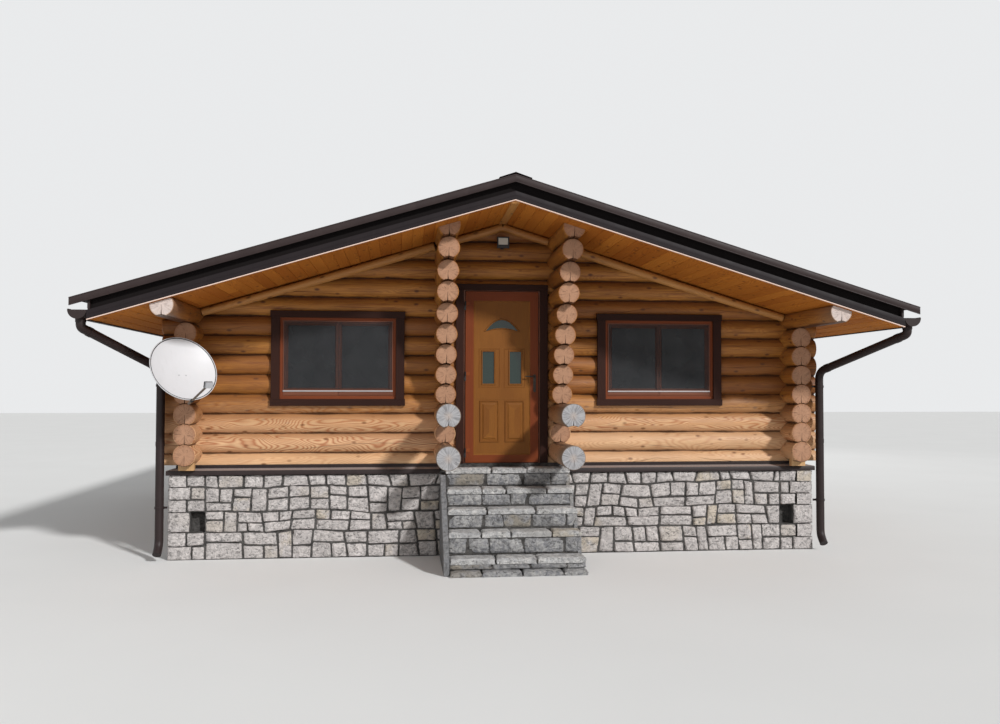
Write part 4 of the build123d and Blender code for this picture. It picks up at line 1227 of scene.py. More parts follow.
form = Form()
foot = roof_under(RIDGE_BOARD) - 0.010
under = mirrored([(RIDGE_BOARD, foot + 0.009), (RIDGE_BOARD, foot + 0.002), (RIDGE_BOARD - 0.003, foot)], [])
under.append((0.0, roof_under(0) + 0.003))
for y0, y1 in ((-ROOF_Y + 0.001, -WALL_CLEAR), (WALL_CLEAR, ROOF_Y - 0.001)):
    form.loft([[(x, y, z) for x, z in under] for y in (y0, y1)], 1, 0, 0.1)
piece("ridge_board", form, POLE_WOOD, "board_wood")

# %% [markdown]
# ## Sheets and folds of the roof edge
# The edge is a stack of folded sheets. A strip with a hem hangs at the rim of the roof, then a gap whose shade
# is painted near-black on the roof panels behind it, and a lower fascia with one fold line ends in a thin drip
# edge, painted pale as a highlight. A section is written once as points (way out, rise) and is drawn along the
# slope from the ridge to the eaves.

# %% Roof sheet
SHEET_X = 4.600
SHEET_Y = 5.425
SHEET_FOOT = 0.2755
PAN = 0.277
SEAM_TOP = 0.2985
SEAMS = 21
SEAM = ((-0.016, PAN), (-0.006, PAN + 0.004), (-0.005, SEAM_TOP - 0.002), (-0.003, SEAM_TOP), (0.004, SEAM_TOP),
        (0.006, SEAM_TOP - 0.003), (0.006, PAN + 0.004), (0.016, PAN))


def along_slope(form, side, section, reach):
    """Draws a section of (y, rise) points along the slope from the ridge to a distance from it."""
    form.loft([[on_slope(side, x, y, rise) for y, rise in section] for x in (0.0, reach)], 0, 1)


def sheet_section():
    top = [(-SHEET_Y, PAN + 0.010)]
    for k in range(SEAMS):
        y = -SHEET_Y + 0.19 + k * (2 * SHEET_Y - 0.38) / (SEAMS - 1)
        top += [(y + off, rise) for off, rise in SEAM]
    return top + [(SHEET_Y, PAN + 0.010), (SHEET_Y, SHEET_FOOT), (-SHEET_Y, SHEET_FOOT)]


for side, label in ((-1, "left"), (1, "right")):
    form = Form()
    along_slope(form, side, sheet_section(), SHEET_X)
    piece("roof_sheet_seamed_" + label, form, ROOF_METAL, "roof_metal", "roof_sheet_" + label)

# %% Ridge cap
CAP_HALF = 0.180
CAP_LAP = 0.0012
form = Form()
for y0, y1, lift in ((-SHEET_Y, -1.8, 0.0), (-1.83, 1.8, CAP_LAP), (1.77, SHEET_Y, 0.0)):
    half = [(CAP_HALF, 0.296), (CAP_HALF - 0.004, 0.302), (0.012, 0.308 + lift)]
    section = mirrored(half, [(0.0, 0.309 + lift)])
    section += [(CAP_HALF - 0.004, 0.299), (0.0, 0.306 + lift), (-CAP_HALF + 0.004, 0.299)]
    form.loft([[(x, y, roof_under(x) + rise) for x, rise in section] for y in (y0, y1)], 1, 0)
piece("ridge_fold", form, ROOF_METAL, "roof_metal", "ridge_cap")

# %% Verge hem, fascia, drip edge and eave boards
HEM = ((0.002, 0.2750), (0, 0.2700), (0, 0.2150), (0.0015, 0.2120), (0, 0.2075), (0.002, 0.2025),
       (0.008, 0.2022), (0.009, 0.2080), (0.005, 0.2110), (0.004, 0.2690))
FACE = ((0.006, 0.1085), (0.004, 0.1040), (0.004, 0.0600), (0, 0.0560), (0, 0.0120), (0.004, 0.0085),
        (0.006, 0.0120), (0.006, 0.0520))
LIP = ((-0.0004, 0.0140), (-0.0004, 0.0052))
FASCIA_X = 4.430
verge, fascia, drip = Form(), Form(), Form()
for form, folds, first, last, out, near, reach in (
        (verge, HEM, 0.2745, 0.2700, 5.4248, 5.4005, SHEET_X - 0.001),
        (fascia, FACE, 0.1085, 0.0560, 5.4068, 5.3806, FASCIA_X),
        (drip, LIP, 0.0140, 0.0052, 5.4068, 5.3806, FASCIA_X - 0.001)):
    section = [(near, first)] + [(out - back, rise) for back, rise in folds] + [(near, last)]
    for side in (-1, 1):
        for way in (-1, 1):
            along_slope(form, side, [(way * y, rise) for y, rise in section], reach)
piece("verge_hem", verge, ROOF_METAL, "roof_metal", "verge_strips")
piece("lower_fascia", fascia, FASCIA_METAL, "dark_metal", "verge_fascias")
piece("drip_edge_painted_highlight", drip, PAINTED_HIGHLIGHT_DRIP, "dark_metal", "verge_fascias")

form = Form()
EAVE_LOW, EAVE_HIGH = 2.700, 2.9765
face = [(4.4055, EAVE_HIGH), (FASCIA_X, EAVE_HIGH - 0.004), (FASCIA_X, EAVE_LOW + 0.130),
        (FASCIA_X - 0.003, EAVE_LOW + 0.126), (FASCIA_X - 0.003, EAVE_LOW + 0.014),
        (FASCIA_X, EAVE_LOW + 0.010), (FASCIA_X, EAVE_LOW), (4.4055, EAVE_LOW)]
for side in (-1, 1):
    form.loft([[(side * x, y, z) for x, z in face] for y in (-ROOF_Y + 0.001, ROOF_Y - 0.001)], 1, 2)
piece("eave_boards", form, DARK_METAL, "dark_metal", "eave_fascias")
# The roof panels are finished near-black as the painted shade of the gap under the verge.
dress("roof_panel_left", RECESS_SHADE)
dress("roof_panel_right", RECESS_SHADE)

# %% [markdown]
# ## Gutters and downpipes
# A half-round gutter hangs under each eave. Its front lip is rolled into a bead for stiffness, brackets wrap
# it every 0.7 m and the ends are closed with caps. A round pipe takes the water from an outlet near the
# front corner, slants back under the eave and drops down the wall through two clips to a shoe.

# %% Gutters
GUTTER_X = 4.5256
GUTTER_Z = 2.8225
GUTTER_R = 0.095
GUTTER_Y = 5.400
SKIN = 0.004
BRACKET_GAP, BRACKET_FIRST, BRACKET_HALF = 0.70, 0.35, 0.012
CAP_THICK = 0.012


def around(radius, turns):
    return [(radius * math.cos(turn), radius * math.sin(turn)) for turn in turns]


def half_round(radius, steps=18):
    return around(radius, [math.pi * (1 + k / steps) for k in range(steps + 1)])


def trough(radius, skin, lip):
    """A half-round section, outside and back inside, with a rolled bead at its outer lip."""
    bead = [(radius - lip + a, lip * 0.4 + b) for a, b in around(lip, (0.2, 0.9, 1.6, 2.3, 3.0, 3.6))]
    return half_round(radius) + bead + half_round(radius - skin)[::-1]


def gutter_run(form, side, section, *places):
    rings = [[(side * (GUTTER_X + a), y, GUTTER_Z + b - 0.0095) for a, b in section] for y in places]
    form.loft(rings, 1, 2)


for side, label in ((-1, "left"), (1, "right")):
    form = Form()
    gutter_run(form, side, trough(GUTTER_R, SKIN, 0.0068), -GUTTER_Y + 0.004, -1.7, 1.7, GUTTER_Y - 0.004)
    for end in (-1, 1):
        gutter_run(form, side, half_round(GUTTER_R), end * GUTTER_Y, end * (GUTTER_Y - CAP_THICK))
    bracket = [(a * 0.999, b) for a, b in trough(GUTTER_R - 0.0042, 0.003, 0.006)]
    y = -GUTTER_Y + BRACKET_FIRST
    while y < GUTTER_Y - 0.2:
        gutter_run(form, side, bracket, y - BRACKET_HALF, y + BRACKET_HALF)
        board(form, (side * (GUTTER_X - GUTTER_R - 0.004), y - BRACKET_HALF, GUTTER_Z - 0.05),
              (side * (GUTTER_X - GUTTER_R + 0.01), y + BRACKET_HALF, GUTTER_Z + 0.006), 2)
        y += BRACKET_GAP
    piece("gutter_" + label, form, DARK_METAL, "dark_metal", "gutters")

# %% Downpipes
PIPE_R = 0.050
PIPE_X = 4.010
PIPE_Y = -4.150
WALL_FACE_X = 3.925
OUTLET_Y = -5.280
OUTLET_Z, BEND_Z, FOOT_Z, SHOE = 2.6372, 2.2302, 0.190, 0.090
CLIPS, SLEEVE = (2.04, 0.62), 1.36


def rounded(line, radius, turns=6):
    """Replaces the inner corners of a line by short arcs."""
    line = [Vector(p) for p in line]
    points = [line[0]]
    for a, b, c in zip(line, line[1:], line[2:]):
        reach = min(radius, (a - b).length * 0.48, (c - b).length * 0.48)
        p0 = b + (a - b).normalized() * reach
        p1 = b + (c - b).normalized() * reach
        for k in range(turns + 1):
            t = k / turns
            points.append(p0 * (1 - t) ** 2 + b * 2 * t * (1 - t) + p1 * t * t)
    return points + [line[-1]]


def collar(form, centre, way, radius, length):
    half = Vector(way).normalized() * length / 2
    tube(form, [Vector(centre) - half, Vector(centre) + half], radius, sides=20)


for side, label in ((-1, "left"), (1, "right")):
    form = Form()
    outlet, bend, foot = [Vector((side * x, y, z)) for x, y, z in (
        (GUTTER_X, OUTLET_Y, OUTLET_Z), (PIPE_X, PIPE_Y, BEND_Z), (PIPE_X, PIPE_Y, FOOT_Z))]
    route = [(side * GUTTER_X, OUTLET_Y, 2.7250), outlet, bend, foot, (side * PIPE_X, PIPE_Y - SHOE, SHOE)]
    tube(form, rounded(route, 0.10), PIPE_R - 0.001, sides=22)
    collar(form, (side * GUTTER_X, OUTLET_Y, 2.712), (0, 0, 1), PIPE_R + 0.004, 0.04)
    for share in (0.10, 0.90):
        collar(form, outlet + (bend - outlet) * share, bend - outlet, PIPE_R + 0.003, 0.05)
    for z, grow, length in ((CLIPS[0], 0.005, 0.028), (SLEEVE, 0.002, 0.05), (CLIPS[1], 0.005, 0.028)):
        collar(form, (side * PIPE_X, PIPE_Y, z), (0, 0, 1), PIPE_R + grow, length)
    for z in CLIPS:
        board(form, (side * WALL_FACE_X, PIPE_Y + 0.012, z - 0.012),
              (side * (WALL_FACE_X + 0.047), PIPE_Y + 0.032, z + 0.012), 0)
    piece("downpipe_round_" + label, form, DARK_METAL, "dark_metal", "downpipe_" + label)

# %% [markdown]
# ## Skirt over the plinth
# A folded sheet covers the ledge between the stones and the lowest logs. It has a slope to shed water, a small
# upstand against the logs, a face and a drip lip that shows as a light line in the sun. It stops at the steps.
# Its corners are mitred.

# %% Skirt
SKIRT_X, SKIRT_Y = 3.9460, 4.1460
STEPS_LEFT, STEPS_RIGHT = -0.7620, 0.8020
SKIRT = [(0.0, 0.9905), (0.0, 1.0380), (0.004, 1.0445), (0.0935, 1.0630), (0.0935, 1.0985), (0.0947, 1.0985),
         (0.0947, 1.0600), (0.008, 1.0420), (0.004, 1.0360), (0.004, 1.0110), (0.0015, 1.0080), (0.004, 1.0050),
         (0.004, 0.9905)]


def skirt_run(form, run, side, s0, s1, mitre0=1, mitre1=1):
    rings = []
    for s, inset in ((s0, mitre0), (s1, -mitre1)):
        ring = []
        for d, z in SKIRT:
            p = [0, 0, z]
            p[run] = s + d * inset
            p[1 - run] = side * ((SKIRT_Y if run == 0 else SKIRT_X) - d)
            ring.append(p)
        rings.append(ring)
    form.loft(rings, run, 2)


form = Form()
skirt_run(form, 0, -1, -SKIRT_X, STEPS_LEFT, mitre1=0)
skirt_run(form, 0, -1, STEPS_RIGHT, SKIRT_X, mitre0=0)
skirt_run(form, 0, 1, -SKIRT_X, SKIRT_X)
skirt_run(form, 1, -1, -SKIRT_Y, SKIRT_Y)
skirt_run(form, 1, 1, -SKIRT_Y, SKIRT_Y)
# The skirt's finish paints its upward faces paler as a highlight.
piece("folded_skirt", form, SKIRT_METAL, "dark_metal", "plinth_skirt")

# %% [markdown]
# ## Windows
# Each window has dark outer boards, a red-brown frame and two casements that meet in the middle. A fly
# screen in a thin rail covers the casements, which is why they look so dark in daylight, and a pale rail at
# its foot catches the sun. The sides and the back repeat the same window.

# %% Fly screen finish
THREADS = 3900.0


def screen_finish():
    r = Recipe("fly_screen", rough=0.7, specular=0.2)
    warp, weft = [(r.mark(label) * THREADS).math("SINE") for label in ("along", "across")]
    r.put(r.skin["Alpha"], warp.math("MAXIMUM", weft).math("GREATER_THAN", 0.55))
    return r.done(r.mix(r.noise(r.place(), 5.0), (0.016, 0.017, 0.019), (0.035, 0.035, 0.038)))


SCREEN = screen_finish()
print("finish", SCREEN.name)

# %% Window sections and measures
TRIM_T = 0.032
TRIM_X, TRIM_Z, TRIM_HALF = (0.6885, 0.7915), (0.4885, 0.570), 0.800
TRIM_TALL = 0.488
FRAME_HALF = (0.6995, 0.4995)
STILE, MEETING, FOOT_RAIL = 0.058, 0.0395, 0.100
FRAME_SECTION = [(0, 0.088), (0, 0.002), (0.002, 0), (0.036, 0), (0.039, 0.003), (0.039, 0.009), (0.045, 0.011),
                 (0.045, 0.088)]
SASH_SECTION = [(0, 0.065), (0, 0.003), (0.05, 0), (0.60, 0), (0.66, 0.004), (0.70, 0.004), (0.76, 0.010),
                (1.0, 0.021), (1.0, 0.065)]
SEAL_SECTION = [(0, 0.0205), (0.004, 0.0215), (0.004, 0.030), (0, 0.030)]
RAIL_SECTION = [(0, 0.008), (0, 0.001), (0.010, 0.001), (0.010, 0.008)]
SASH_X, SASH_HALF = (0.0010, 0.6540), 0.4540
SCREEN_HALF, SCREEN_LOW, SCREEN_HIGH = 0.6530, 0.385, 0.4535
LATCHES = (-0.18, 0.22)


def set_back(section, y):
    return [(inset, y + depth) for inset, depth in section]


# %% One window
def window(forms, place, cx, cz, wall, seed):
    """Adds one window to the forms; place turns it to its wall, wall is the wall's distance."""
    chance = random.Random(seed)
    trim, frames, sashes, panes, seals, rails, screens = forms
    for side in (-1, 1):
        board(trim, (cx + side * TRIM_X[0], -wall - TRIM_T, cz - TRIM_TALL),
              (cx + side * TRIM_X[1], -wall - 0.0005, cz + TRIM_TALL), 2, chance.random(), place)
    for side in (1, -1):
        board(trim, (cx - TRIM_HALF, -wall - TRIM_T - 0.0038, cz + side * TRIM_Z[0]),
              (cx + TRIM_HALF, -wall - 0.0005, cz + side * TRIM_Z[1]), 0, chance.random(), place)
    half_w, half_h = FRAME_HALF
    mitred(frames, cx - half_w, cx + half_w, cz - half_h, cz + half_h, set_back(FRAME_SECTION, -wall + 0.0005),
           place, chance.random())

    sash_y = -wall + 0.0125
    for x0, x1, left, right in ((-SASH_X[1], -SASH_X[0], STILE, MEETING), (*SASH_X, MEETING, STILE)):
        mitred(sashes, cx + x0, cx + x1, cz - SASH_HALF, cz + SASH_HALF, set_back(SASH_SECTION, sash_y), place,
               chance.random(), (left, FOOT_RAIL, right, STILE))
        a, b = cx + x0 + left, cx + x1 - right
        c, d = cz - SASH_HALF + FOOT_RAIL, cz + SASH_HALF - STILE
        mitred(seals, a, b, c, d, set_back(SEAL_SECTION, sash_y), place)
        board(panes, (a - 0.004, sash_y + 0.0235, c - 0.004), (b + 0.004, sash_y + 0.0455, d + 0.004), 0,
              place=place)
    for up in LATCHES:
        tube(seals, [place((cx + 0.008, sash_y - 0.0005, cz + up + end * 0.03)) for end in (-1, 1)], 0.003, 8)

    rail_y = -wall + 0.0015
    low, high = cz - SCREEN_LOW, cz + SCREEN_HIGH
    board(rails, (cx - SCREEN_HALF, rail_y, low - 0.015), (cx + SCREEN_HALF, rail_y + 0.009, low), 0,
          place=place)
    mitred(sashes, cx - SCREEN_HALF, cx + SCREEN_HALF, low, high, set_back(RAIL_SECTION, rail_y), place, 0.9)
    screens.faces.append(tuple(screens.add(place((x, rail_y + 0.006, z)), (x, z, 0.5, 0, 0))
                               for x, z in corners_of(cx - 0.644, cx + 0.644, low, high - 0.009)))


# %% All windows
window_forms = [Form() for _ in range(7)]
FACE_Y, FACE_X = WALL_Y + LOG_R, WALL_X + LOG_R
for number, (angle, cx, cz, wall) in enumerate((
        (0, -WIN_X, WIN_Z, FACE_Y), (0, WIN_X, WIN_Z, FACE_Y), (180, -WIN_X, WIN_Z, FACE_Y),
        (180, WIN_X, WIN_Z, FACE_Y), (90, 0.0, SIDE_WIN_Z, FACE_X), (-90, 0.0, SIDE_WIN_Z, FACE_X))):
    window(window_forms, turned(angle), cx, cz, wall, 60 + number)
trim, frames, sashes, panes, seals, rails, screens = window_forms
piece("window_boards", trim, TRIM_WOOD, "dark_trim", "window_trims", bevel=0.003)
piece("window_rims", frames, FRAME_WOOD, "frame_wood", "window_frames")
piece("window_sashes", sashes, SASH_WOOD, "frame_wood", "window_frames")
piece("window_glass", panes, GLASS, "glass", "window_panes")
piece("window_seals", seals, RUBBER, "black_metal")
piece("screen_rails", rails, STEEL_STRIP, "galvanised", bevel=0.001)
piece("fly_screens", screens, SCREEN, "black_metal")

# %% [markdown]
# ## The entrance door
# The leaf is a red-brown frame round a golden panel. The construction leaf is kept, and its finish asks
# where a point lies to tell frame from panel. The barrels of the hinges are black, and their leaves are
# painted over with the door. Mouldings are added on the leaf: a bead round the crescent and the two lights,
# and two raised fields below. They ride on the door and swing with it.

# %% Door finish
LEAF_OUT = -4.052
LEAF_IN = -3.984
PANEL_HALF = 0.348
PANEL_LOW, PANEL_HIGH = 1.201, 3.083
BARREL_EDGE = -0.4415
LEAF_RED = ((0.25, 0.060, 0.014), (0.17, 0.037, 0.010), (0.065, 0.014, 0.005))


def door_finish():
    r = Recipe("door_wood", rough=0.42, specular=0.15)
    x, _, z = r.parts(r.place())
    oak, oak_height = grain(r, z, x, 0.35, OAK, 0.4, lines_per_m=70.0)
    stile, _ = grain(r, z, x, 0.8, LEAF_RED, 0.3, lines_per_m=55.0)
    rail, _ = grain(r, x, z, 0.8, LEAF_RED, 0.3, lines_per_m=55.0)
    between = abs(x).math("LESS_THAN", PANEL_HALF + 0.0005)
    level = abs(z - (PANEL_LOW + PANEL_HIGH) / 2).math("LESS_THAN", (PANEL_HIGH - PANEL_LOW) / 2 + 0.0005)
    colour = r.mix(between * level, r.mix(between, stile, rail), oak)
    return r.done(colour, None, oak_height, depth=0.0008, strength=0.5)


def hinge_finish():
    r = Recipe("hinge_metal", rough=0.42, specular=0.15)
    on_leaf = r.parts(r.place())[0].span(BARREL_EDGE, BARREL_EDGE + 0.001)
    return r.done(r.mix(on_leaf, (0.014, 0.014, 0.015), (0.20, 0.048, 0.012)))


dress("door_leaf", door_finish())
dress("door_glass", DOOR_GLASS)
dress("door_hinges", hinge_finish())
dress("hinge_seats", BLACK_METAL)

# %% Outline of the crescent light
CRESCENT_HALF, CRESCENT_ENDS, RISE, SAG = 0.1998, 2.7121, 0.140, 0.040
CRESCENT_STEPS = 20
LIGHT_X, LIGHT_Z, LIGHT_RIM = (0.096, 0.238), (2.0694, 2.4602), 0.017
FIELD_X = 0.155


def crescent(grow):
    """Outline of the crescent light, its edge moved out by grow."""
    upper, lower = [], []
    for k in range(CRESCENT_STEPS + 1):
        t = -1 + 2 * k / CRESCENT_STEPS
        x = t * (CRESCENT_HALF + 2.2 * grow)
        upper.append((x, CRESCENT_ENDS + (RISE + grow * 1.2) * (1 - t * t)))
        lower.append((x, CRESCENT_ENDS + SAG * (1 - t * t) - grow * 1.2 * (1 - t ** 8)))
    return upper + lower[-2:0:-1]


# %% Mouldings on both faces of the leaf
def mouldings(form, y_out, y_in):
    """The mouldings on one face of the leaf, between their top at y_out and their foot at y_in."""
    step = (y_in - y_out) / 3
    form.loft([[(x, y, z) for x, z in crescent(grow)]
               for grow, y in ((0.001, y_in), (0.001, y_out), (0.007, y_out), (0.011, y_in))], 2, 0, 0.4, False)
    bead = [(0, y_in), (0.003, y_out), (0.009, y_out), (0.012, y_out + step), (0.016, y_out + step),
            (0.016, y_in)]
    groove = [(0, y_in), (0.004, y_out), (0.012, y_out), (0.018, y_in)]
    field = [(0, y_in), (0.016, y_out + step), (0.020, y_out), (0.088, y_out)]
    rim = [(0, y_in), (0.003, y_in - step), (0.008, y_in - step), (0.011, y_in)]
    for side in (-1, 1):
        x0, x1 = sorted(side * x for x in LIGHT_X)
        c = side * FIELD_X
        mitred(form, x0 - LIGHT_RIM, x1 + LIGHT_RIM, LIGHT_Z[0] - LIGHT_RIM, LIGHT_Z[1] + LIGHT_RIM, bead,
               tone=0.4)
        for half, low, high, section, tone in (
                (0.120, 1.354, 1.862, groove, 0.5), (0.088, 1.386, 1.830, field, 0.3),
                (0.130, 2.022, 2.500, rim, 0.6)):
            mitred(form, c - half, c + half, low, high, section, tone=tone)
    edge = [(0, y_out), (0, y_in + step * 0.2), (0.008, y_in - step * 0.8), (0.014, y_in)]
    mitred(form, -PANEL_HALF + 0.0005, PANEL_HALF - 0.0005, PANEL_LOW + 0.0005, PANEL_HIGH - 0.0005, edge,
           tone=0.2)
    board(form, (-PANEL_HALF + 0.014, y_in, 1.880), (PANEL_HALF - 0.014, y_in - step, 1.887), 0, 0.3)


form = Form()
mouldings(form, LEAF_OUT + 0.001, LEAF_OUT + 0.0105)
mouldings(form, LEAF_IN - 0.001, LEAF_IN - 0.0105)
piece("door_mouldings", form, OAK_WOOD, "door_wood", body="door")

# %% Door handle
HANDLE_X, HANDLE_Z = 0.402, 2.1593
PLATE_R, PLATE_MID = 0.0158, HANDLE_Z - 0.085
low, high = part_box("door_handle")
print("handle box", [round(v, 4) for v in (*low, *high)])
plate = []
for z, start in ((HANDLE_Z + 0.009, 0), (HANDLE_Z - 0.179, 180)):
    turns = [math.radians(start + 20 * k) for k in range(10)]
    plate += [(a, z + b) for a, b in around(PLATE_R, turns)]


def handle_side(form, face, out):
    """Plate, rose, lever and key cover on one face of the leaf; out is the way away from the leaf."""
    def at(off, x=0.0, z=0.0):
        return (HANDLE_X + x, face + out * off, HANDLE_Z + z)

    form.loft([[(HANDLE_X + dx * s, face + out * off, PLATE_MID + (z - PLATE_MID) * t) for dx, z in plate]
               for off, s, t in ((0.0003, 1, 1), (0.0050, 1, 1), (0.0068, 0.88, 0.98))], 2, 0)
    tube(form, [at(0.006), at(0.010)], 0.0135, 20)
    tube(form, rounded([at(0.008), at(0.0435), at(0.0440, -0.060), at(0.0400, -0.1185)], 0.018), 0.0078, 14)
    tube(form, [at(0.006, z=-0.072), at(0.0095, z=-0.072)], 0.0085, 16)
    board(form, at(0.004, -0.0022, -0.096), at(0.0100, 0.0022, -0.072), 2)


form = Form()
handle_side(form, LEAF_OUT, -1)
handle_side(form, LEAF_IN, 1)
piece("lever_handle", form, BRONZE, "handle_metal", "door_handle", body="door")

# %% Door frame and casing
CASING_X, CASING_Y = (0.4685, 0.5658), (-4.0648, -4.0303)
CASING_FOOT, CASING_HEAD, CASING_TOP = 1.1042, 3.2142, 3.2898
form = Form()
for side in (-1, 1):
    board(form, (side * CASING_X[0], CASING_Y[0], CASING_FOOT),
          (side * CASING_X[1], CASING_Y[1], CASING_HEAD - 0.0007), 2, 0.3 + 0.2 * side)
board(form, (-CASING_X[1], CASING_Y[0], CASING_HEAD), (CASING_X[1], CASING_Y[1], CASING_TOP), 0, 0.6)
piece("door_casing", form, TRIM_WOOD, "dark_trim", "door_trim", bevel=0.003)
dress("door_frame", RIM_WOOD)
dress("log_end_blocks", BLOCK_WOOD)

# %% [markdown]
# ## Floor boards
# Through the open door the floor shows as planks running across the room.

# %% Floor
FLOOR_X, FLOOR_Y, FLOOR_Z = 3.5990, 3.7990, (1.0690, 1.0958)
PLANK = 0.150
GAP = 0.0008
form = Form()
chance = random.Random(8)
y = -FLOOR_Y
while y < FLOOR_Y - 0.009:
    y1 = min(y + PLANK, FLOOR_Y)
    breaks = sorted([-FLOOR_X, FLOOR_X, chance.uniform(-2.8, 2.8)])
    for x0, x1 in zip(breaks, breaks[1:]):
        board(form, (x0 + GAP, y + GAP, FLOOR_Z[0]), (x1 - GAP, y1 - GAP, FLOOR_Z[1]), 0, chance.random())
    y = y1
piece("floor_planks", form, FLOOR_WOOD, "floor_wood", "floor", bevel=0.0012)

# %% [markdown]
# ## Floodlight under the gable
# A small square lamp stands off the gable on a short arm, over the box that holds its driver. Its case has
# cooling fins at the back and a pale diffuser in a black bezel at the front.

# %% Floodlight
LAMP_FRONT, LAMP_BACK = -4.1800, -4.1310
LAMP_LOW, LAMP_HIGH = 3.7420, 3.8570
FINS = 9


def lamp_box(form, half_x, y0, y1, low, high, grain=0):
    """A box of the lamp, its depths counted from the front and its heights from the lamp's foot."""
    board(form, (-half_x, LAMP_FRONT + y0, LAMP_LOW + low), (half_x, LAMP_FRONT + y1, LAMP_LOW + high), grain)


form = Form()
TALL = LAMP_HIGH - LAMP_LOW
bezel = set_back([(0, 0.030), (0, 0.003), (0.003, 0), (0.013, 0), (0.017, 0.005), (0.017, 0.030)], LAMP_FRONT)
mitred(form, -0.0745, 0.0745, LAMP_LOW, LAMP_HIGH, bezel)
lamp_box(form, 0.0710, 0.012, 0.034, 0.004, TALL - 0.004)
for k in range(FINS):
    x = -0.060 + 0.015 * k
    board(form, (x - 0.0016, LAMP_FRONT + 0.034, LAMP_LOW + 0.010),
          (x + 0.0016, LAMP_BACK, LAMP_HIGH - 0.010), 2)
lamp_box(form, 0.0145, 0.043, 0.153, 0.001, 0.018, 1)
lamp_box(form, 0.0200, 0.144, 0.1525, -0.020, 0.0185)
lamp_box(form, 0.0730, 0.004, 0.036, -0.024, 0.001)
piece("lamp_case", form, BLACK_METAL, "black_metal", "floodlight", bevel=0.001)
form = Form()
lamp_box(form, 0.0580, 0.0065, 0.0125, 0.0165, TALL - 0.0165)
piece("lamp_diffuser", form, LAMP_FACE, "dish_grey", "floodlight")

# %% [markdown]
# ## The roof dish
# The dish is a shallow bowl of pressed steel with a rolled rim and a dark ring just inside it, on a tube that
# stands off the corner logs. Two bolt heads show on its face. Its position comes from the construction piece,
# its bowl from the curve of a parabola turned round its aim.

# %% Dish
DISH_MID = Vector((-3.660, -4.650, 2.200))
BOWL_R, BOWL_DEPTH = 0.388, 0.070
BOWL_STEPS = 13
PRESSED_R = BOWL_R * 0.985
DISH_TURN, DISH_LIFT = 40, 25
turn, lift = math.radians(DISH_TURN), math.radians(DISH_LIFT)
aim = Vector((math.sin(turn) * math.cos(lift), -math.cos(turn) * math.cos(lift), math.sin(lift)))
level_way = Vector((math.cos(turn), math.sin(turn), 0.0))
up_way = aim.cross(level_way)


def bowl(form, profile, caps=True, sides=56):
    """Turns a profile of (radius, height) points round the dish's aim."""
    turns = [2 * math.pi * k / sides for k in range(sides)]
    form.loft([[DISH_MID + aim * height + level_way * a + up_way * b for a, b in around(radius, turns)]
               for radius, height in profile], 0, 2, caps=caps)


def pressed(reach, back):
    shares = [0.02 + reach * k / BOWL_STEPS for k in range(BOWL_STEPS + 1)]
    return [(PRESSED_R * share, BOWL_DEPTH * share * share - back) for share in shares]


rolled = [(BOWL_R * 0.992, BOWL_DEPTH + 0.0015), (BOWL_R, BOWL_DEPTH - 0.001), (BOWL_R, BOWL_DEPTH - 0.007),
          (BOWL_R * 0.992, BOWL_DEPTH - 0.010), (BOWL_R * 0.980, BOWL_DEPTH - 0.006)]
form = Form()
bowl(form, pressed(0.98, 0.0) + rolled + pressed(0.95, 0.0025)[::-1])
piece("dish_bowl", form, DISH_PAINT, "dish_grey", "dish_reflector", soft_angle=60)

form = Form()
RING_FOOT = BOWL_DEPTH * 0.93
dark_ring = ((0.954, 0.0002), (0.957, 0.0022), (0.976, 0.0052), (0.979, 0.0040), (0.954, 0.0002))
bowl(form, [(BOWL_R * r, RING_FOOT + h) for r, h in dark_ring], caps=False)
piece("dish_rim_dark_ring", form, RUBBER, "dish_grey", "dish_reflector", soft_angle=60)

# %% [markdown]
# ## Bracket, arm and receiving head
# A foot plate with four bolts holds a bent tube that ends in the hub behind the bowl. A painted arm from the
# bowl's lower edge carries the receiving head, a pale box with a black strap that looks back at the bowl
# through a short horn.

# %% Dish bracket
FOOT_Y = -4.3203
MAST_FOOT = Vector((-3.700, FOOT_Y - 0.005, 2.174))
BOLTS = [(dx, dz) for dx in (-0.05, 0.05) for dz in (-0.068, 0.068)]
hub_back = DISH_MID - aim * 0.090
form = Form()
for dx in (0.042, -0.042):
    spot = DISH_MID + level_way * dx - up_way * 0.055 + aim * 0.0025
    tube(form, [spot, spot + aim * 0.004], 0.008, 6)
board(form, (-3.770, FOOT_Y - 0.009, 2.085), (-3.630, FOOT_Y, 2.263), 0)
for dx, dz in BOLTS:
    tube(form, [MAST_FOOT + Vector((dx, off, dz)) for off in (-0.0035, -0.0115)], 0.009, 6)
tube(form, rounded([MAST_FOOT, MAST_FOOT + Vector((0, -0.12, 0)), hub_back + aim * 0.02], 0.08), 0.0215, 18)
tube(form, [hub_back, hub_back + aim * 0.080], [0.042, 0.044], 24)
tube(form, [hub_back + aim * 0.078, hub_back + aim * 0.0865], 0.075, 24)
piece("dish_bracket", form, ZINC, "galvanised", "dish_mount")

# %% Dish arm and head
ARM_DROP = 0.4043
FEED_OUT, FEED_DROP = 0.490, 0.400
rim_low = DISH_MID + aim * BOWL_DEPTH - up_way * ARM_DROP
feed = DISH_MID + aim * FEED_OUT - up_way * FEED_DROP
feed_aim = (DISH_MID - feed).normalized()
head_side = feed_aim.cross(Vector((0, 0, 1))).normalized()
head_up = head_side.cross(feed_aim)


def head_box(form, *stations):
    """A small box along the arm's head, through (reach, size) stations."""
    form.loft([[feed + feed_aim * reach + head_side * (0.041 * size * a) + head_up * (0.031 * size * b)
                for a, b in corners_of(-1, 1, -1, 1)] for reach, size in stations], 0, 2)


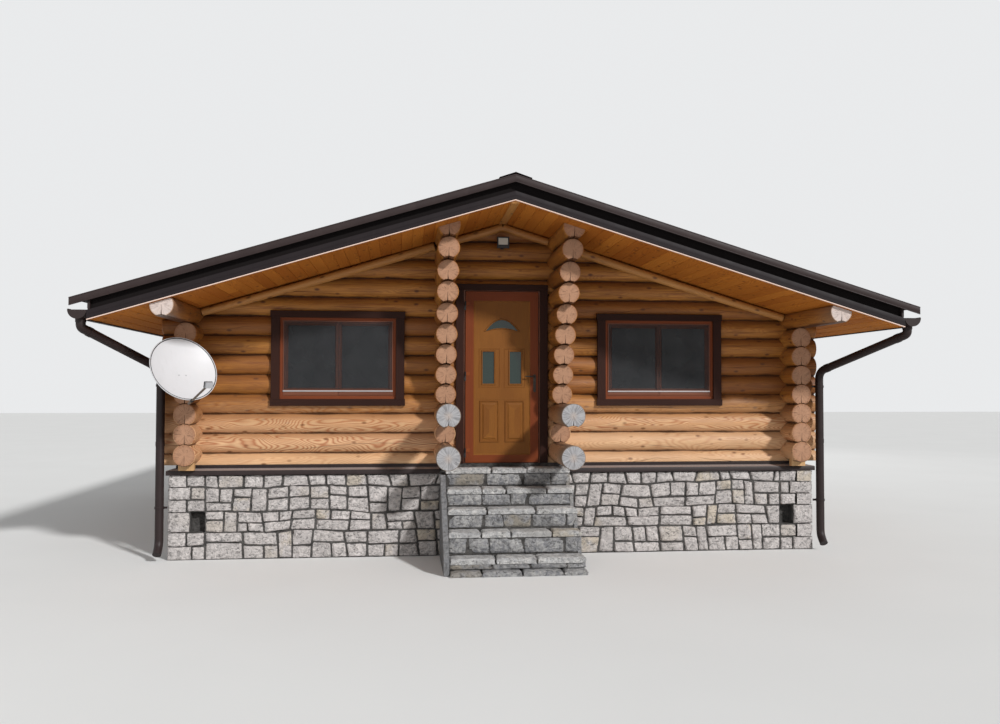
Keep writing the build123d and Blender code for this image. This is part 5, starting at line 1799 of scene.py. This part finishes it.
form = Form()
tube(form, [rim_low - aim * 0.055, rim_low, feed], 0.0120, 14)
tube(form, [rim_low - aim * 0.058, rim_low + aim * 0.028], 0.0150, 14)
piece("dish_arm", form, ARM_PAINT, "galvanised", "dish_mount")
form = Form()
head_box(form, (0.004, 1.08), (0.018, 1.08))
tube(form, [rim_low + aim * 0.010, rim_low + aim * 0.034], 0.0185, 14)
piece("arm_clamps", form, RUBBER, "galvanised", "dish_mount")
form = Form()
head_box(form, (-0.029, 0.90), (-0.026, 1.0), (0.027, 1.0), (0.030, 0.90))
tube(form, [feed + feed_aim * reach for reach in (0.030, 0.056, 0.059)], [0.018, 0.027, 0.024], 24)
piece("receiving_head", form, HEAD_PAINT, "dish_grey", "dish_mount")

# %% [markdown]
# ## Floor, light and camera
# The cabin stands on a plain pale floor. A broad soft sun from the right of the camera and a pale sky light
# it at a plain level, so that the colours look as they were written. The world's light path lets the camera
# see a pale backdrop without adding light to the cabin.

# %% Floor and light
STUDIO_HALF = 60
SKY_SEEN, SKY_LIGHT = 0.95, 0.46
studio_mesh = bpy.data.meshes.new("studio_floor")
studio_corners = corners_of(-STUDIO_HALF, STUDIO_HALF, -STUDIO_HALF, STUDIO_HALF)
studio_mesh.from_pydata([(x, y, -0.001) for x, y in studio_corners], [], [(0, 1, 2, 3)])
studio = Recipe("studio_floor", rough=0.9, specular=0.1)
haze = studio.noise(studio.place(), 0.6, 2.0)
studio_mesh.materials.append(studio.done(studio.mix(haze, (0.74, 0.74, 0.73), (0.78, 0.78, 0.77))))
new_object("studio_floor", studio_mesh)

world = bpy.data.worlds.new("studio")
bpy.context.scene.world = world
world.use_nodes = True
sky = Tree(world.node_tree)
backdrop = world.node_tree.nodes["Background"].inputs
backdrop["Color"].default_value = (0.86, 0.87, 0.88, 1)
seen, mirrored_ray, passed = [sky.node("ShaderNodeLightPath", out="Is %s Ray" % kind)
                              for kind in ("Camera", "Glossy", "Transmission")]
shown = seen.math("MAXIMUM", mirrored_ray.math("MAXIMUM", passed))
sky.put(backdrop["Strength"], shown.span(0.0, 1.0, SKY_LIGHT, SKY_SEEN))


def lamp(name, kind, energy, place, aim, size):
    """A sun whose size is an angle in degrees, or an area light whose size is in metres."""
    light = bpy.data.lights.new(name, kind)
    light.energy = energy
    if kind == "SUN":
        light.angle = math.radians(size)
    else:
        light.size = size
    made = new_object(name, light)
    made.location = place
    made.rotation_euler = (Vector(aim) - Vector(place)).to_track_quat("-Z", "Y").to_euler()


lamp("key", "SUN", 3.1, (7.0, -14.0, 8.6), (0, -4, 1.6), 5)
lamp("fill", "AREA", 180, (-9.0, -15.0, 5.0), (0, -4, 2.0), 7)
lamp("rim", "AREA", 260, (8.0, 14.0, 9.0), (0, 3, 2.0), 7)
print("lights", len(bpy.data.lights))

# %% [markdown]
# ## Camera
# A camera fitted to about forty points of the photo gave the focal length in pixels, the place of the eye and
# its small tilts. The sensor is taken as 36 mm wide.

# %% Camera
PHOTO_WIDE = 1000
FOCAL_PX = 896.1
SENSOR = 36.0
PITCH_UP, ROLL, YAW = 1.69, -0.08, -6.07
camera = bpy.data.cameras.new("camera")
camera.sensor_width = SENSOR
camera.lens = FOCAL_PX / PHOTO_WIDE * SENSOR
camera.dof.use_dof = False
eye = new_object("camera", camera)
eye.location = (-1.184, -14.958, 2.011)
eye.rotation_euler = (math.radians(90 + PITCH_UP), math.radians(ROLL), math.radians(YAW))
bpy.context.scene.camera = eye
bpy.context.scene.view_settings.view_transform = "Standard"
print("lens", round(camera.lens, 2), "mm")
